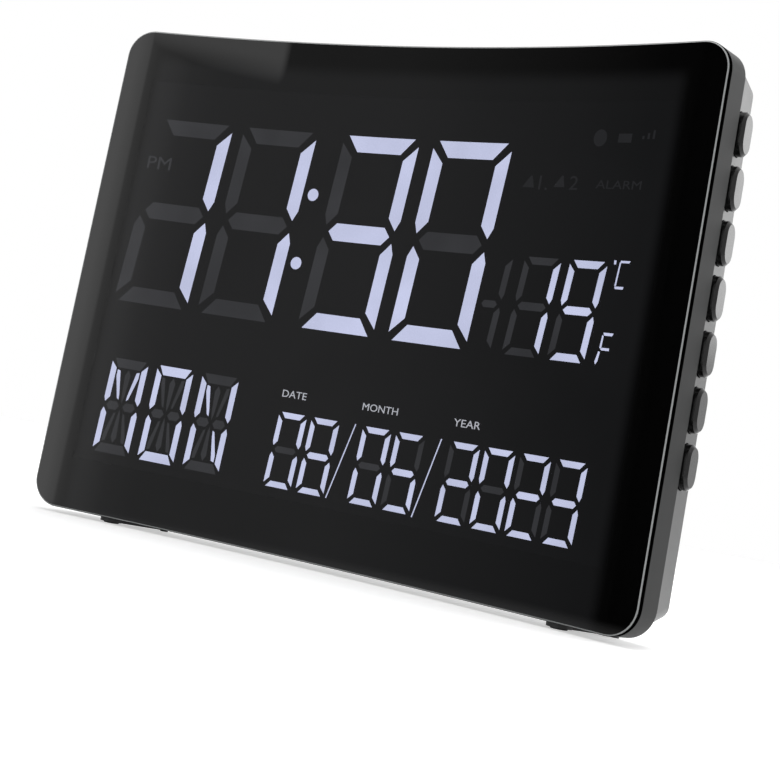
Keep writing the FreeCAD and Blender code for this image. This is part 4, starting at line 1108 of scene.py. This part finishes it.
# %% The world
CARD_LIGHT = 3.7
ROOM_LIGHT = 0.55
CARD_STOPS = (
    (-180, 0.27), (-75, 0.27), (-45, 0.14), (-12, 0.08), (2, 0.12), (9, 1.0), (18, 1.0),
    (18.3, 0.84), (18.8, 0.62), (19.3, 0.42), (19.9, 0.28), (20.8, 0.20), (22.5, 0.15),
    (26, 0.13), (31, 0.12), (35, 0.075), (39, 0.035), (42, 0.0), (70, 0.08), (95, 0.27),
    (180, 0.27))
UPPER_CARD_LIGHT = 0.60
UPPER_CARD_RISE = (0.236, 0.264)
UPPER_CARD_RIGHT = 9.0
UPPER_CARD_LEFT = (25.2, 25.8)


def studio_world():
    """White behind, dark in front, with two soft cards."""
    world = bpy.data.worlds.new("Studio")
    bpy.context.scene.world = world
    world.use_nodes = True
    tree = world.node_tree
    tree.nodes.clear()
    direction = add_node(tree, "ShaderNodeTexCoord").outputs["Generated"]
    axes = add_node(tree, "ShaderNodeSeparateXYZ", {"Vector": direction}).outputs
    left = do_math(tree, "MULTIPLY", axes["X"], -1.0)
    near = do_math(tree, "MULTIPLY", axes["Y"], -1.0)
    compass = do_math(tree, "MULTIPLY", do_math(tree, "ARCTAN2", left, near), 180 / math.pi)
    share = spread(tree, compass, -180.0, 180.0, 0.0, 1.0)
    ramp = add_node(tree, "ShaderNodeValToRGB", {"Fac": share})
    marks = ramp.color_ramp.elements
    while len(marks) < len(CARD_STOPS):
        marks.new(0.5)
    for mark, (degrees, value) in zip(marks, CARD_STOPS):
        mark.position = (degrees + 180) / 360
        mark.color = (value, value, value, 1)
    above = spread(tree, axes["Z"], *UPPER_CARD_RISE, 0.0, 1.0, True)
    within = spread(tree, compass, *UPPER_CARD_LEFT, 1.0, 0.0, True)
    within = do_math(tree, "MULTIPLY", within, do_math(tree, "GREATER_THAN", compass, UPPER_CARD_RIGHT))
    upper_card = do_math(tree, "MULTIPLY", do_math(tree, "MULTIPLY", above, within), UPPER_CARD_LIGHT)
    card = do_math(tree, "MAXIMUM", ramp.outputs["Color"], upper_card)
    mirrored_light = do_math(tree, "MULTIPLY", card, CARD_LIGHT)
    ray = add_node(tree, "ShaderNodeLightPath").outputs
    sharp = do_math(tree, "ADD", ray["Is Glossy Ray"], ray["Is Transmission Ray"], clamp=True)
    soft = add_node(tree, "ShaderNodeMix", {"Factor": sharp, "A": ROOM_LIGHT, "B": mirrored_light})
    strength = add_node(tree, "ShaderNodeMix", {
        "Factor": ray["Is Camera Ray"], "A": soft.outputs["Result"], "B": 1.0})
    light = add_node(tree, "ShaderNodeBackground", {
        "Color": (*WHITE, 1), "Strength": strength.outputs["Result"]})
    add_node(tree, "ShaderNodeOutputWorld", {"Surface": light.outputs["Background"]})
    print("world with", len(CARD_STOPS), "stops of brightness")


studio_world()


# %% The lamps
def soft_lamp(name, place, aim, width, power):
    """A square soft lamp at a place, turned towards a point."""
    lamp_data = bpy.data.lights.new(name, "AREA")
    lamp_data.shape = "SQUARE"
    lamp_data.size = width
    lamp_data.energy = power
    lamp = add_object(name, lamp_data)
    lamp.visible_camera = False
    towards = Vector(aim) - Vector(place)
    lamp.matrix_world = Matrix.Translation(place) @ towards.to_track_quat("-Z", "Y").to_matrix().to_4x4()


soft_lamp("Overhead lamp", (0.1, 0.2, 1.5), (0, 0, 0.1), 1.2, 14)
soft_lamp("Side lamp", (1.3, 0.5, 0.6), (0.1, 0, 0.1), 0.8, 5)
soft_lamp("Rim lamp", (0.63, 1.5, 0.6), (0.1, 0, 0.1), 0.6, 1.8)
print("three soft lamps")


# %% [markdown]
# ## The size of the dressed clock
# The dressed clock has to be the size of its solids, so the box round it, without the floor, is written
# out.

# %% Measure and finish
seen_box = [list(corner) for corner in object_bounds()]
for name, first, second in zip("xyz", *seen_box):
    print(name, "from", round(first, 4), "to", round(second, 4))
